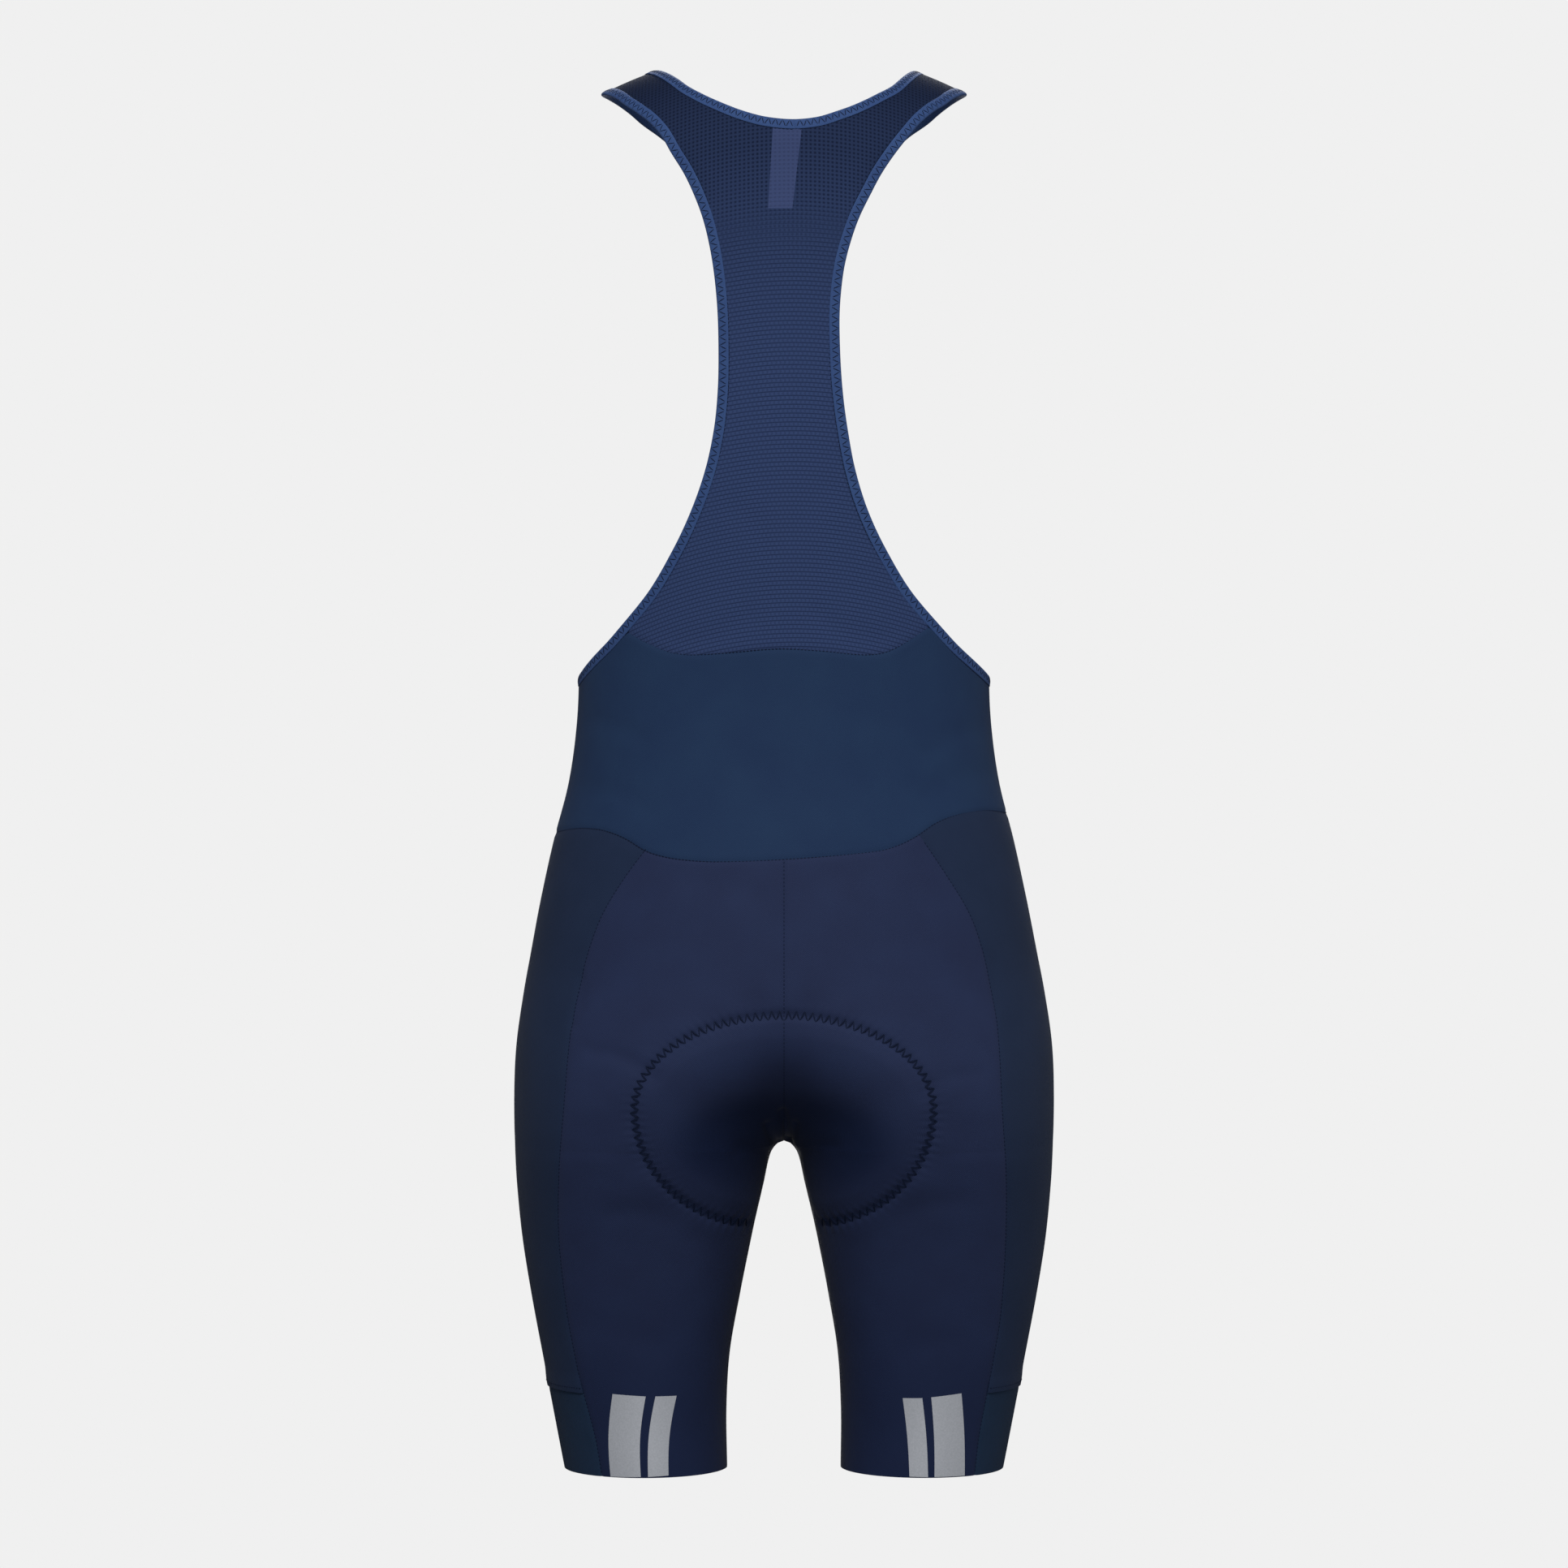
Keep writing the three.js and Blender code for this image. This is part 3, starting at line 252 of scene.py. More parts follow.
form = {name: smooth_line([row[0] for row in FORM_ROWS], [row[i] for row in FORM_ROWS])
        for i, name in enumerate(FORM_NAMES) if i}
back_hip_seam = smooth_line(*zip(*BACK_HIP_SEAM))
front_hip_seam = smooth_line(*zip(*FRONT_HIP_SEAM))
side_seam = {"left": smooth_line([row[0] for row in SIDE_SEAM], [row[1] for row in SIDE_SEAM]),
             "right": smooth_line([row[0] for row in SIDE_SEAM], [row[2] for row in SIDE_SEAM])}


def ring_form(z):
    """One half of the ring at each level: an ellipse's centre, half width and widest angle, the
    rounding off of the middle, and the stretch that keeps the ring's width after that rounding."""
    legs = z < CROTCH_Z
    width = form["half_width"](z)
    bridge = np.maximum(form["bridge"](z), 0)
    fork = np.where(legs, 1, np.clip(form["fork"](z), 0, 1))
    radius = (width - np.where(legs, form["inner"](z), bridge)) / (1 + fork)
    return width - radius, radius, np.arccos(-fork), bridge, width / np.sqrt(width**2 - bridge**2)


def ring_at(z, part):
    """A point of the ring by its part of the widest angle: 1 at the middle of the back, 0 at the
    side, -1 at the middle of the front. x follows the ellipse, rounded off by the bridge as the
    root of x squared less bridge squared; y is the depth times the sine of the angle."""
    centre, radius, end, bridge, stretch = ring_form(z)
    angle = end * part
    plain = centre + radius * np.cos(angle)
    depth = np.where(angle > 0, form["back"](z), form["front"](z))
    x = stretch * np.sqrt(np.maximum(plain**2 - bridge**2, 0))
    return np.stack([x, depth * np.sin(angle), z + 0 * x], -1)


RING_ROUND = 430

# Small steps to near points, from which normals are found
TURN_STEP = 0.004
LEVEL_STEP = 0.8
LENGTH_STEP = 0.5

# Tables over level and place: the share of the way round at each part, and the part at each share
RING_LEVELS = np.arange(-952.0, -460.0)
RING_PARTS = np.sin(np.linspace(1, -1, 241) * np.pi / 2)
ring_chords = np.linalg.norm(np.diff(ring_at(RING_LEVELS[:, None], RING_PARTS), axis=1), axis=2)
ring_lengths = np.pad(np.cumsum(ring_chords, axis=1), ((0, 0), (1, 0)))
share_table = ring_lengths / ring_lengths[:, -1:]
even_shares = np.linspace(0, 1, 401)
part_table = np.stack([np.interp(even_shares, row, RING_PARTS) for row in share_table])


def look_up(table, z, place):
    """Reads a table between its rows (levels) and columns (places from 0 to 1), weighted by nearness."""
    row = np.clip(z - RING_LEVELS[0], 0, len(table) - 1.001)
    column = np.clip(place, 0, 1) * (table.shape[1] - 1.001)
    i, j = row.astype(int), column.astype(int)
    r, c = row - i, column - j
    upper = table[i, j] * (1 - c) + table[i, j + 1] * c
    lower = table[i + 1, j] * (1 - c) + table[i + 1, j + 1] * c
    return upper * (1 - r) + lower * r


def ring_point(z, share):
    """The point at a share of the way round one half, 0 at the centre back and 1 at the centre
    front. Beyond either end it goes on round the same leg, or above the crotch on the other half."""
    z, share = np.broadcast_arrays(np.asarray(z, float), np.asarray(share, float))
    folded = np.where(share < 0, -share, np.where(share > 1, 2 - share, share))
    place = np.where(z < CROTCH_Z, share - np.floor(share), folded)
    point = ring_at(z, look_up(part_table, z, place))
    crossed = (z >= CROTCH_Z) & ((share < 0) | (share > 1))
    point[..., 0] *= np.where(crossed, -1, 1)
    return point


def unit(vectors):
    """The vectors at length 1."""
    return vectors / np.maximum(np.linalg.norm(vectors, axis=-1, keepdims=True), 1e-9)


def ring_normal(z, share):
    """The outward normal: the way up crossed with the way round, each from two near points."""
    around = ring_point(z, share + TURN_STEP) - ring_point(z, share - TURN_STEP)
    up = ring_point(z + LEVEL_STEP, share) - ring_point(z - LEVEL_STEP, share)
    return unit(np.cross(up, around))


def share_at(z, x, face):
    """The share of the way round at which the back (face 1) or the front (face -1) is x from the middle."""
    centre, radius, end, bridge, stretch = ring_form(z)
    plain = np.sqrt((x / stretch) ** 2 + bridge**2)
    part = face * np.arccos(np.clip((plain - centre) / radius, -1, 1)) / end
    turn = np.arcsin(np.clip(part, -1, 1)) * 2 / np.pi
    return look_up(share_table, z + 0 * turn, (1 - turn) / 2)


def seam_share(side, face):
    """The side panel's seam as a share of the way round at each level."""
    return lambda z: share_at(z, side_seam[side](z), face)


def side_share(z):
    """The outermost line as a share of the way round at each level."""
    return look_up(share_table, z, 0.5 + 0 * z)


def smooth_step(low, high, value):
    """0 below low, 1 above high, and an even S between."""
    f = np.clip((value - low) / (high - low), 0, 1)
    return f * f * (3 - 2 * f)


def crease_height(points, creases, face):
    """Soft troughs: each is its depth times a bell curve of the distance from its bowed line, and
    fades where the cloth turns away from that face."""
    x, z = points[..., 0], points[..., 2]
    total = 0 * x
    for x1, z1, x2, z2, bow, depth, width in creases:
        run = math.hypot(x2 - x1, z2 - z1)
        ux, uz = (x2 - x1) / run, (z2 - z1) / run
        along = ((x - x1) * ux + (z - z1) * uz) / run
        inside = np.clip(along, 0, 1)
        aside = (x - x1) * uz - (z - z1) * ux - bow * 4 * inside * (1 - inside)
        total -= depth * np.exp(-(aside**2 + ((along - inside) * run) ** 2) / width**2)
    return total * smooth_step(0, 14, face * points[..., 1])


def unevenness(points):
    """The slight waviness of worn stretch cloth: three long sine waves that cross each other."""
    x, z = points[..., 0] + 0.4 * points[..., 1], points[..., 2]
    waves = np.sin(x / 23 + z / 41) + np.sin(z / 27 - x / 49 + 1.3) + np.sin(x / 15 - z / 63 + 0.5)
    return 0.13 * waves


def pad_outline(shape, angle):
    """The pad's outline as x and height: an ellipse with another reach above than below."""
    reach = np.where(angle > 0, shape["above"], PAD_BELOW)
    return shape["half_width"] * np.cos(angle), PAD_WIDEST_Z + reach * np.sin(angle)


outline_angles = np.linspace(-np.pi / 2, np.pi / 2, 361)


def outline_length(shape):
    """The length along the pad's outline up to each angle, from its lowest point."""
    x, z = pad_outline(shape, outline_angles)
    return np.concatenate([[0], np.cumsum(np.hypot(np.diff(x), np.diff(z)))])


def pad_height(points):
    """What the pad does to the cloth over it: a low swelling inside the outline, a groove along it
    where it is sewn down, and puckers a stitch apart that die away on both sides of the groove."""
    total = 0 * points[..., 0]
    for shape, face in ((PAD_BACK, 1), (PAD_FRONT, -1)):
        x, rise = np.abs(points[..., 0]), points[..., 2] - PAD_WIDEST_Z
        reach = np.where(rise > 0, shape["above"], PAD_BELOW)
        angle = np.arctan2(rise / reach, x / shape["half_width"])
        ratio = np.hypot(rise / reach, x / shape["half_width"])
        edge_x, edge_z = pad_outline(shape, angle)
        outside = (ratio - 1) * np.hypot(edge_x, edge_z - PAD_WIDEST_Z)
        along = np.interp(angle, outline_angles, outline_length(shape))
        swelling = PAD_SWELLING * smooth_step(0, 16, -outside)
        swelling += PAD_ROLLED_EDGE * smooth_step(0, 5, -outside)
        groove = -PAD_GROOVE * np.exp(-((outside / 3.2) ** 2))
        low = 0.45 + 0.55 * smooth_step(0.2, -0.9, angle)
        drift = 0.7 + 0.3 * np.sin(along / 17 + face)
        gathers = np.cos(2 * np.pi * along / PAD_STITCH_PITCH) * np.exp(-((outside / 6) ** 2))
        pucker = PAD_PUCKER * low * drift * gathers
        wave = np.sin(along / 6.1 + np.sin(along / 19)) * np.exp(-(((outside - 7) / 9) ** 2))
        ripple = PAD_RIPPLE * low * wave
        total += (swelling + groove + pucker + ripple) * smooth_step(0, 34, face * points[..., 1])
    return total


def lower_height(points):
    """How far the cloth of the lower body stands off its plain form."""
    height = unevenness(points) + pad_height(points)
    height += crease_height(points, SEAT_CREASES, 1) + crease_height(points, FRONT_CREASES, -1)
    return height


def edge_distance(points, edges):
    """The distance along the cloth from each point of a grid to the nearest of the named edges."""
    across = np.linalg.norm(np.diff(points, axis=1), axis=2)
    down = np.linalg.norm(np.diff(points, axis=0), axis=2)
    left = np.pad(np.cumsum(across, axis=1), ((0, 0), (1, 0)))
    top = np.pad(np.cumsum(down, axis=0), ((1, 0), (0, 0)))
    found = {"left": left, "right": left[:, -1:] - left, "top": top, "bottom": top[-1:] - top}
    return np.minimum.reduce([found[name] for name in edges])


SEAM_DIP = 0.55
SEAM_DIP_WIDTH = 1.5


def seam_dip(points, edges):
    """A narrow groove along the sewn edges, a bell curve of the distance from them."""
    return -SEAM_DIP * np.exp(-((edge_distance(points, edges) / SEAM_DIP_WIDTH) ** 2))


def grid_quads(rows, columns, closed_rows=False, closed_columns=False):
    """The quads of a grid of points, row by row, joined round where it is closed."""
    i = np.arange(rows if closed_rows else rows - 1)[:, None]
    j = np.arange(columns if closed_columns else columns - 1)[None, :]
    here, nxt = i * columns, ((i + 1) % rows) * columns
    right = (j + 1) % columns
    return np.stack([here + j, nxt + j, nxt + right, here + right], -1).reshape(-1, 4)


def add_piece(name, points, quads, material, cloth=None, marks=None):
    """Makes a mesh object from points in millimetres and quads, its faces turned outwards by the
    sign of the volume that they close. cloth is each point's place on the flat cloth in
    millimetres, and marks are named values from 0 to 1."""
    a, b, c, d = (points[quads[:, k]] for k in range(4))
    volume = (np.cross(a, b) * c).sum() + (np.cross(a, c) * d).sum()
    if volume < 0:
        quads = quads[:, ::-1]
    mesh = bpy.data.meshes.new(name)
    mesh.vertices.add(len(points))
    mesh.vertices.foreach_set("co", (points / 1000).astype(np.float32).ravel())
    mesh.loops.add(quads.size)
    mesh.loops.foreach_set("vertex_index", quads.astype(np.int32).ravel())
    mesh.polygons.add(len(quads))
    mesh.polygons.foreach_set("loop_start", np.arange(0, quads.size, 4, dtype=np.int32))
    mesh.update(calc_edges=True)
    if cloth is not None:
        on_cloth = np.pad(cloth, ((0, 0), (0, 1))).astype(np.float32)
        mesh.attributes.new("cloth", "FLOAT_VECTOR", "POINT").data.foreach_set("vector", on_cloth.ravel())
    for mark, values in (marks or {}).items():
        layer = mesh.attributes.new(mark, "FLOAT", "POINT")
        layer.data.foreach_set("value", values.astype(np.float32).ravel())
    mesh.shade_smooth()
    mesh.set_sharp_from_angle(angle=math.radians(50))
    mesh.materials.append(material)
    made = bpy.data.objects.new(name, mesh)
    bpy.context.scene.collection.objects.link(made)
    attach(made, "root")
    return made


def add_wall(name, outer, inner, cloth, material, marks=None):
    """A closed wall between two grids of points, the face of the cloth and its back."""
    rows, columns = outer.shape[:2]
    face = grid_quads(rows, columns)
    under = rows * columns
    rim = np.concatenate([
        np.arange(columns),
        np.arange(1, rows) * columns + columns - 1,
        (rows - 1) * columns + np.arange(columns - 2, -1, -1),
        np.arange(rows - 2, 0, -1) * columns,
    ])
    nxt = np.roll(rim, -1)
    edge = np.stack([rim, nxt, nxt + under, rim + under], -1)
    points = np.concatenate([outer.reshape(-1, 3), inner.reshape(-1, 3)])
    quads = np.concatenate([face, face[:, ::-1] + under, edge])
    both = {mark: np.tile(values.ravel(), 2) for mark, values in (marks or {}).items()}
    return add_piece(name, points, quads, material, np.tile(cloth.reshape(-1, 2), (2, 1)), both)


def wall_layers(points, normals, height, thick=CLOTH):
    """The face and the back of a wall whose face stands at a height off the points."""
    return [points + normals * np.asarray(place)[..., None] for place in (height, height - thick)]


def crowded(count, strength, ends=2):
    """Steps from 0 to 1, closer together at both ends (ends 2) or at the start alone (ends 1)."""
    t = np.linspace(0, 1, count + 1)
    return t - strength * np.sin(ends * np.pi * t) / (ends * np.pi)


def levels_from_hip(side, start, stop, across, above, below, bottom):
    """The heights of a panel's grid: from the seam under the yoke to the crotch, then to the bottom.
    The seam is found by going back and forth between its height and the column's x."""
    top = HIP_Z + 0 * across
    for _ in range(25):
        share = start(top) * (1 - across) + stop(top) * across
        x = SIDE_SIGN[side] * ring_point(top, share)[..., 0]
        top = np.where(share <= side_share(top), back_hip_seam(x), front_hip_seam(x))
    upper = top * (1 - above[:-1, None]) + CROTCH_Z * above[:-1, None]
    return np.concatenate([upper, CROTCH_Z + (bottom - CROTCH_Z) * below[:, None] + 0 * top])


def lower_grid(start, stop, across, z):
    """A panel of the lower body as points, normals and places on the flat cloth. Across, it goes
    from start(z) to stop(z) round the ring."""
    share = start(z) * (1 - across) + stop(z) * across
    return ring_point(z, share), ring_normal(z, share), np.stack([share * RING_ROUND, z], -1)


def mirrored(points, side):
    """The points on the wearer's left or right."""
    return points * np.array([SIDE_SIGN[side], 1, 1])


def new_material(name):
    """A material, its node tree and its shader."""
    material = bpy.data.materials.new(name)
    material.use_nodes = True
    return material, material.node_tree, material.node_tree.nodes["Principled BSDF"]


def knit_material(name, colours, roughness, sheen, wale, course, relief, tint_size=38, painted_shade=None):
    """Warp-knitted stretch cloth, from two fine wave patterns in the wales' and courses' drawn
    spacing for its grain, and soft cloudy patches for the unevenness of its dye. A mark from 0 to 1
    blends in painted shade: a deeper colour that stands in for the shade round the crotch and for
    the light fading down the leg towards the hem."""
    material, tree, shader = new_material(name)
    cloth = add_node(tree, "Attribute", attribute_name="cloth").outputs["Vector"]
    apart = add_node(tree, "SeparateXYZ", {0: cloth})
    waves = []
    for axis, pitch in ((0, wale), (1, course)):
        turned = add_node(tree, "Math", {0: apart.outputs[axis], 1: 2 * math.pi / pitch},
                          operation="MULTIPLY")
        waves.append(add_node(tree, "Math", {0: turned}, operation="SINE"))
    grain = add_node(tree, "Math", dict(enumerate(waves)), operation="MULTIPLY")
    fibre = add_node(tree, "TexNoise", {"Vector": cloth, "Scale": 1.6, "Detail": 2.0})
    cloud = add_node(tree, "TexNoise", {"Vector": cloth, "Scale": 1 / tint_size, "Detail": 2.0})
    dye = add_node(tree, "Math", {0: fibre, 1: cloud}, operation="ADD")
    spread = add_node(tree, "MapRange", {"Value": dye, "From Min": 0.7, "From Max": 1.3})
    darker, lighter = (linear(colour) for colour in colours)
    tone = add_node(tree, "Mix", {0: spread, 6: darker, 7: lighter}, data_type="RGBA").outputs[2]
    # Painted shade: a deeper colour blended in by the mark, where shade falls or the light fades
    if painted_shade:
        depth = add_node(tree, "Attribute", attribute_name="painted_shade").outputs["Fac"]
        tone = add_node(tree, "Mix", {0: depth, 6: tone, 7: linear(painted_shade)}, data_type="RGBA").outputs[2]
    height = add_node(tree, "Math", {0: fibre, 1: grain}, operation="ADD")
    bump = add_node(tree, "Bump", {"Height": height, "Strength": 0.5, "Distance": relief / 1000})
    set_inputs(tree, shader, {
        "Base Color": tone, "Normal": bump, "Roughness": roughness, "Specular IOR Level": 0.08,
        "Sheen Weight": sheen, "Sheen Roughness": 0.45,
    })
    return material


# Dense warp knit of polyamide and elastane, dyed navy: matt, with a faint sheen. Its wales are
# 0.5 mm apart, drawn at 1.1 mm so that they show.
# Its deeper colour is painted shade, blended in round the crotch and towards the hem
seat_knit = knit_material("Dense_Stretch_Knit_Navy", ("#1d2540", "#202a47"), 0.7, 0.02, 1.1, 1.3, 0.12,
                          painted_shade="#0a1631")

SEAT_ACROSS = np.concatenate([np.linspace(0, 0.62, 84, endpoint=False), np.linspace(0.62, 1, 24)])
SEAT_ABOVE = np.concatenate([crowded(22, 0.6, 1) * 0.42, np.linspace(0.42, 1, 95)[1:]])
SEAT_BELOW = np.concatenate([np.linspace(0, 0.28, 50, endpoint=False), np.linspace(0.28, 1, 48)])


def centre_back(z):
    """The middle of the back, and the inner leg below the crotch."""
    return 0 * z


def centre_front(z):
    """The middle of the front."""
    return 0 * z + 1


# Painted shade: how far the colour is darkened round the crotch, where shade falls under the seat, and at the
# hem, where the light fades down the leg
CROTCH_PAINTED_SHADE = 0.74
HEM_PAINTED_SHADE = 0.45


def painted_lower_shade(points):
    """How much painted shade the cloth carries: round the crotch, where the seat turns under into shade,
    it fades out 90 mm to each side and 48 mm up, and down the leg, where the light fades, it deepens a
    little towards the hem."""
    x, rise = points[..., 0], points[..., 2] - CROTCH_Z
    crotch = smooth_step(1, 0.55, np.hypot(x / 90, (rise - 2) / 46)) * smooth_step(-60, 0, rise)
    return np.maximum(CROTCH_PAINTED_SHADE * crotch, HEM_PAINTED_SHADE * smooth_step(-60, -190, rise))


def add_lower_panel(name, side, lines, across, z, material, at_middle=False, flare=0):
    """A panel of one side of the lower body, between two lines round the form. It dips along its
    sewn edges, and its lower edge stands proud by flare. Where it reaches the middle, it carries
    painted shade round the crotch and towards the hem, and both of its layers are kept to its own side."""
    points, normals, cloth = lower_grid(*lines, across, z)
    height = lower_height(mirrored(points, side)) + seam_dip(points, ("left", "right", "top"))
    height += flare * smooth_step(14, 2, edge_distance(points, ("bottom",)))
    layers = wall_layers(points, normals, height)
    if at_middle:
        for layer in layers:
            layer[..., 0] = np.maximum(layer[..., 0], 0)
    # The mark of painted shade round the crotch and towards the hem
    marks = {"painted_shade": painted_lower_shade(points)} if at_middle else None
    return add_wall(name, *(mirrored(layer, side) for layer in layers), cloth, material, marks)


for side in ("left", "right"):
    lines = (centre_back, seam_share(side, 1))
    z = levels_from_hip(side, *lines, SEAT_ACROSS, SEAT_ABOVE, SEAT_BELOW, HEM_Z)
    seat = add_lower_panel(f"Seat_Panel_{side.title()}", side, lines, SEAT_ACROSS, z, seat_knit, True)
    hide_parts(f"seat_panel_{side}")

# Front panels, left and right, of the same knit as the seat. They join each other at the middle,
# the seat at the inner leg, and the side panels at the outer leg.
FRONT_ACROSS = 1 - np.concatenate([np.linspace(0, 0.5, 40, endpoint=False), np.linspace(0.5, 1, 24)])[::-1]
FRONT_ABOVE = np.concatenate([np.linspace(0, 0.45, 20, endpoint=False), np.linspace(0.45, 1, 60)])
FRONT_BELOW = np.concatenate([np.linspace(0, 0.28, 34, endpoint=False), np.linspace(0.28, 1, 34)])
for side in ("left", "right"):
    lines = (seam_share(side, -1), centre_front)
    z = levels_from_hip(side, *lines, FRONT_ACROSS, FRONT_ABOVE, FRONT_BELOW, HEM_Z)
    front = add_lower_panel(f"Front_Panel_{side.title()}", side, lines, FRONT_ACROSS, z, seat_knit, True)
    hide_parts(f"front_panel_{side}")

# Side panels, left and right: a knit a little plainer and darker than the seat's, down the hip and
# the outer leg. Each ends in a leg gripper, and stands a hair proud of it at that seam.
SIDE_ACROSS = crowded(44, 0.35)
SIDE_ABOVE = np.linspace(0, 1, 60)
SIDE_BELOW = np.linspace(0, 1, 56)
HEM_FLARE = 0.9
side_knit = knit_material("Smooth_Stretch_Knit_Navy", ("#17233a", "#1b273f"), 0.7, 0.02, 1.1, 1.3, 0.1)

# Power knit of the grippers: a tighter, darker cloth with a teal cast
gripper_knit = knit_material("Power_Knit_Dark_Teal", ("#16263b", "#1a2b42"), 0.72, 0.015, 0.9, 1.8, 0.14)
for side in ("left", "right"):
    seams = (seam_share(side, 1), seam_share(side, -1))
    z = levels_from_hip(side, *seams, SIDE_ACROSS, SIDE_ABOVE, SIDE_BELOW, GRIPPER_Z)
    panel = add_lower_panel(f"Side_Panel_{side.title()}", side, seams, SIDE_ACROSS, z, side_knit,
                            flare=HEM_FLARE)
    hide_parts(f"side_panel_{side}")
    z = np.linspace(GRIPPER_Z, HEM_Z, 34)[:, None] + 0 * SIDE_ACROSS
    gripper = add_lower_panel(f"Leg_Gripper_{side.title()}", side, seams, SIDE_ACROSS, z, gripper_knit)
    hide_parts(f"leg_gripper_{side}")

# Seat pad: brushed knit over foam, sewn in along its outline. It is thin at the edge and thick
# under the sit bones, and lies just inside the cloth from the seat round to the front.
PAD_DEEP = 3.4
PAD_EDGE = 2
PAD_CROWN = 7
PAD_TIP = 0.12
PAD_CROWDING = 2.2
INNER_LEG_REACH = 0.98
pad_knit = knit_material("Brushed_Knit_Over_Foam", ("#1c2231", "#232a3c"), 0.9, 0.08, 1.6, 1.6, 0.3)


def pad_half(shape, face, down, across):
    """Half of the pad: rows go out from the middle line to the outline on both legs, and crowd
    towards the crotch as a power of the way down. Gives points, normals and the foam's crown."""
    middle = 0 if face > 0 else 1
    lowest = -np.arccos(ring_point(PAD_WIDEST_Z - PAD_BELOW * INNER_LEG_REACH, 0)[0] / shape["half_width"])
    turn = PAD_TIP + (1 - PAD_TIP) * down
    x, edge_z = pad_outline(shape, np.pi / 2 * (1 - turn) + lowest * turn)
    edge_share = np.where(down == 1, middle, share_at(edge_z, x, face))
    out = np.abs(2 * across - 1)
    top = PAD_WIDEST_Z + shape["above"]
    middle_z = top + (CROTCH_Z - top) * (1 - (1 - down) ** PAD_CROWDING)
    z = middle_z * (1 - out) + edge_z * out
    share = middle * (1 - out) + edge_share * out
    points, normals = ring_point(z, share), ring_normal(z, share)
    sign = np.where(across < 0.5, 1, -1) * np.ones_like(z)
    normals[..., 0] *= np.where(out == 0, 0, sign)
    points[..., 0] *= sign
    return points, unit(normals), 1 - out**2 + 0 * z


pad_down = np.linspace(0, 1, 30)[:, None]
pad_across = np.linspace(0, 1, 49)[None, :]
back_half = pad_half(PAD_BACK, 1, pad_down, pad_across)
front_half = pad_half(PAD_FRONT, -1, pad_down[::-1], pad_across)
points, normals, crown = (np.concatenate([b, f[1:]]) for b, f in zip(back_half, front_half))
crown *= np.sin(np.pi * np.linspace(0.04, 0.96, len(points)))[:, None]
cloth = np.stack([points[..., 0], np.cumsum(np.full(points.shape[:2], 4.0), axis=0)], -1)
thickness = PAD_EDGE + PAD_CROWN * smooth_step(0, 0.75, crown)
pad = add_wall("Chamois_Pad", *wall_layers(points, normals, -PAD_DEEP, thickness), cloth, pad_knit)
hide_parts("chamois_pad")

# Yokes, back and front: a smooth matt knit in a bluer navy, cut as one band each. They join at the
# sides below the armholes, and the front one is scooped out in the middle.
SIDE_POINT_Z = -409
NECK_END_X = 88
STRAP_END_X = 124
SHOULDER_DROP = 15
SHOULDER_RADIUS = 75
ARC_SCALE = 140
TUCK = 5.2

# Free edge of the armhole, as height, distance from the middle on the left and on the right, and
# how much further in the front edge runs
ARMHOLE = [
    (-25, 110, 111, 8), (-35, 98.5, 99, 12.5), (-43, 89.6, 91, 14.5), (-53, 81.5, 83, 14.5),
    (-65, 74.8, 74, 13), (-79, 66.3, 64.7, 11), (-93, 59.7, 57.3, 9), (-108, 54.1, 50, 6),
    (-123, 50.2, 44.6, 3.4), (-142, 46.8, 39.8, 1), (-168, 44.2, 37, 0), (-195, 43.4, 37.1, 0),
    (-222, 43.9, 38.8, 0), (-248, 46.5, 42.2, 0), (-275, 52.4, 47.4, 0), (-302, 62, 56, 0),
    (-328, 74.5, 68.5, 0), (-355, 90.8, 85.3, 0), (-381, 112.8, 108.4, 0), (-394, 125.6, 121.8, 0),
]

# Free edge of the neck at the back, and of the front opening, each with its lowest point
BACK_NECK = [(-15, 67, 74), (-24.5, 54, 61), (-32.5, 39, 47), (-38, 26, 34), (-42, 12, 22)]
BACK_NECK_LOW = (-6, -43.8)
FRONT_NECK = [
    (-14, 72), (-30, 57), (-60, 36), (-88, 27), (-116, 20), (-160, 17), (-209, 15), (-253, 18),
    (-281, 23), (-308, 31), (-336, 43), (-363, 53.5), (-385, 58), (-404, 57), (-422, 47.5), (-435, 28),
]
FRONT_NECK_LOW = (0, -440)

# Seam between the yoke and the mesh above it, as x and height
WAIST_SEAM = [
    (104, -381.5), (90, -389), (77, -394.4), (62, -396.6), (37, -395.3), (4, -392.8), (-27, -394.4),
    (-52, -396.6), (-66, -395.2), (-78, -390), (-95, -379),
]
waist_seam = smooth_line(*zip(*WAIST_SEAM))


def shoulder_height(x):
    """The height of the shoulder seam, a parabola that is level with the origin at the neck's ends."""
    return -SHOULDER_DROP * (x**2 - NECK_END_X**2) / (STRAP_END_X**2 - NECK_END_X**2)


def torso_point(angle, length):
    """A point of the upper body: an angle round it, and a length down from the shoulder seam,
    positive behind. The first stretch follows a quarter circle over the shoulder, the rest hangs
    straight; x is the half width times the sine of the angle."""
    turn = np.minimum(np.abs(length) / SHOULDER_RADIUS, np.pi / 2)
    drop = SHOULDER_RADIUS * (1 - np.cos(turn)) + np.abs(length) - turn * SHOULDER_RADIUS
    z = -drop + 0 * angle
    for _ in range(12):
        x = form["half_width"](z) * np.sin(angle)
        z = shoulder_height(x) - drop
    depth = np.where(length >= 0, form["back"](z), -form["front"](z))
    return np.stack([x, depth * np.sin(turn) * np.cos(angle), z], -1)


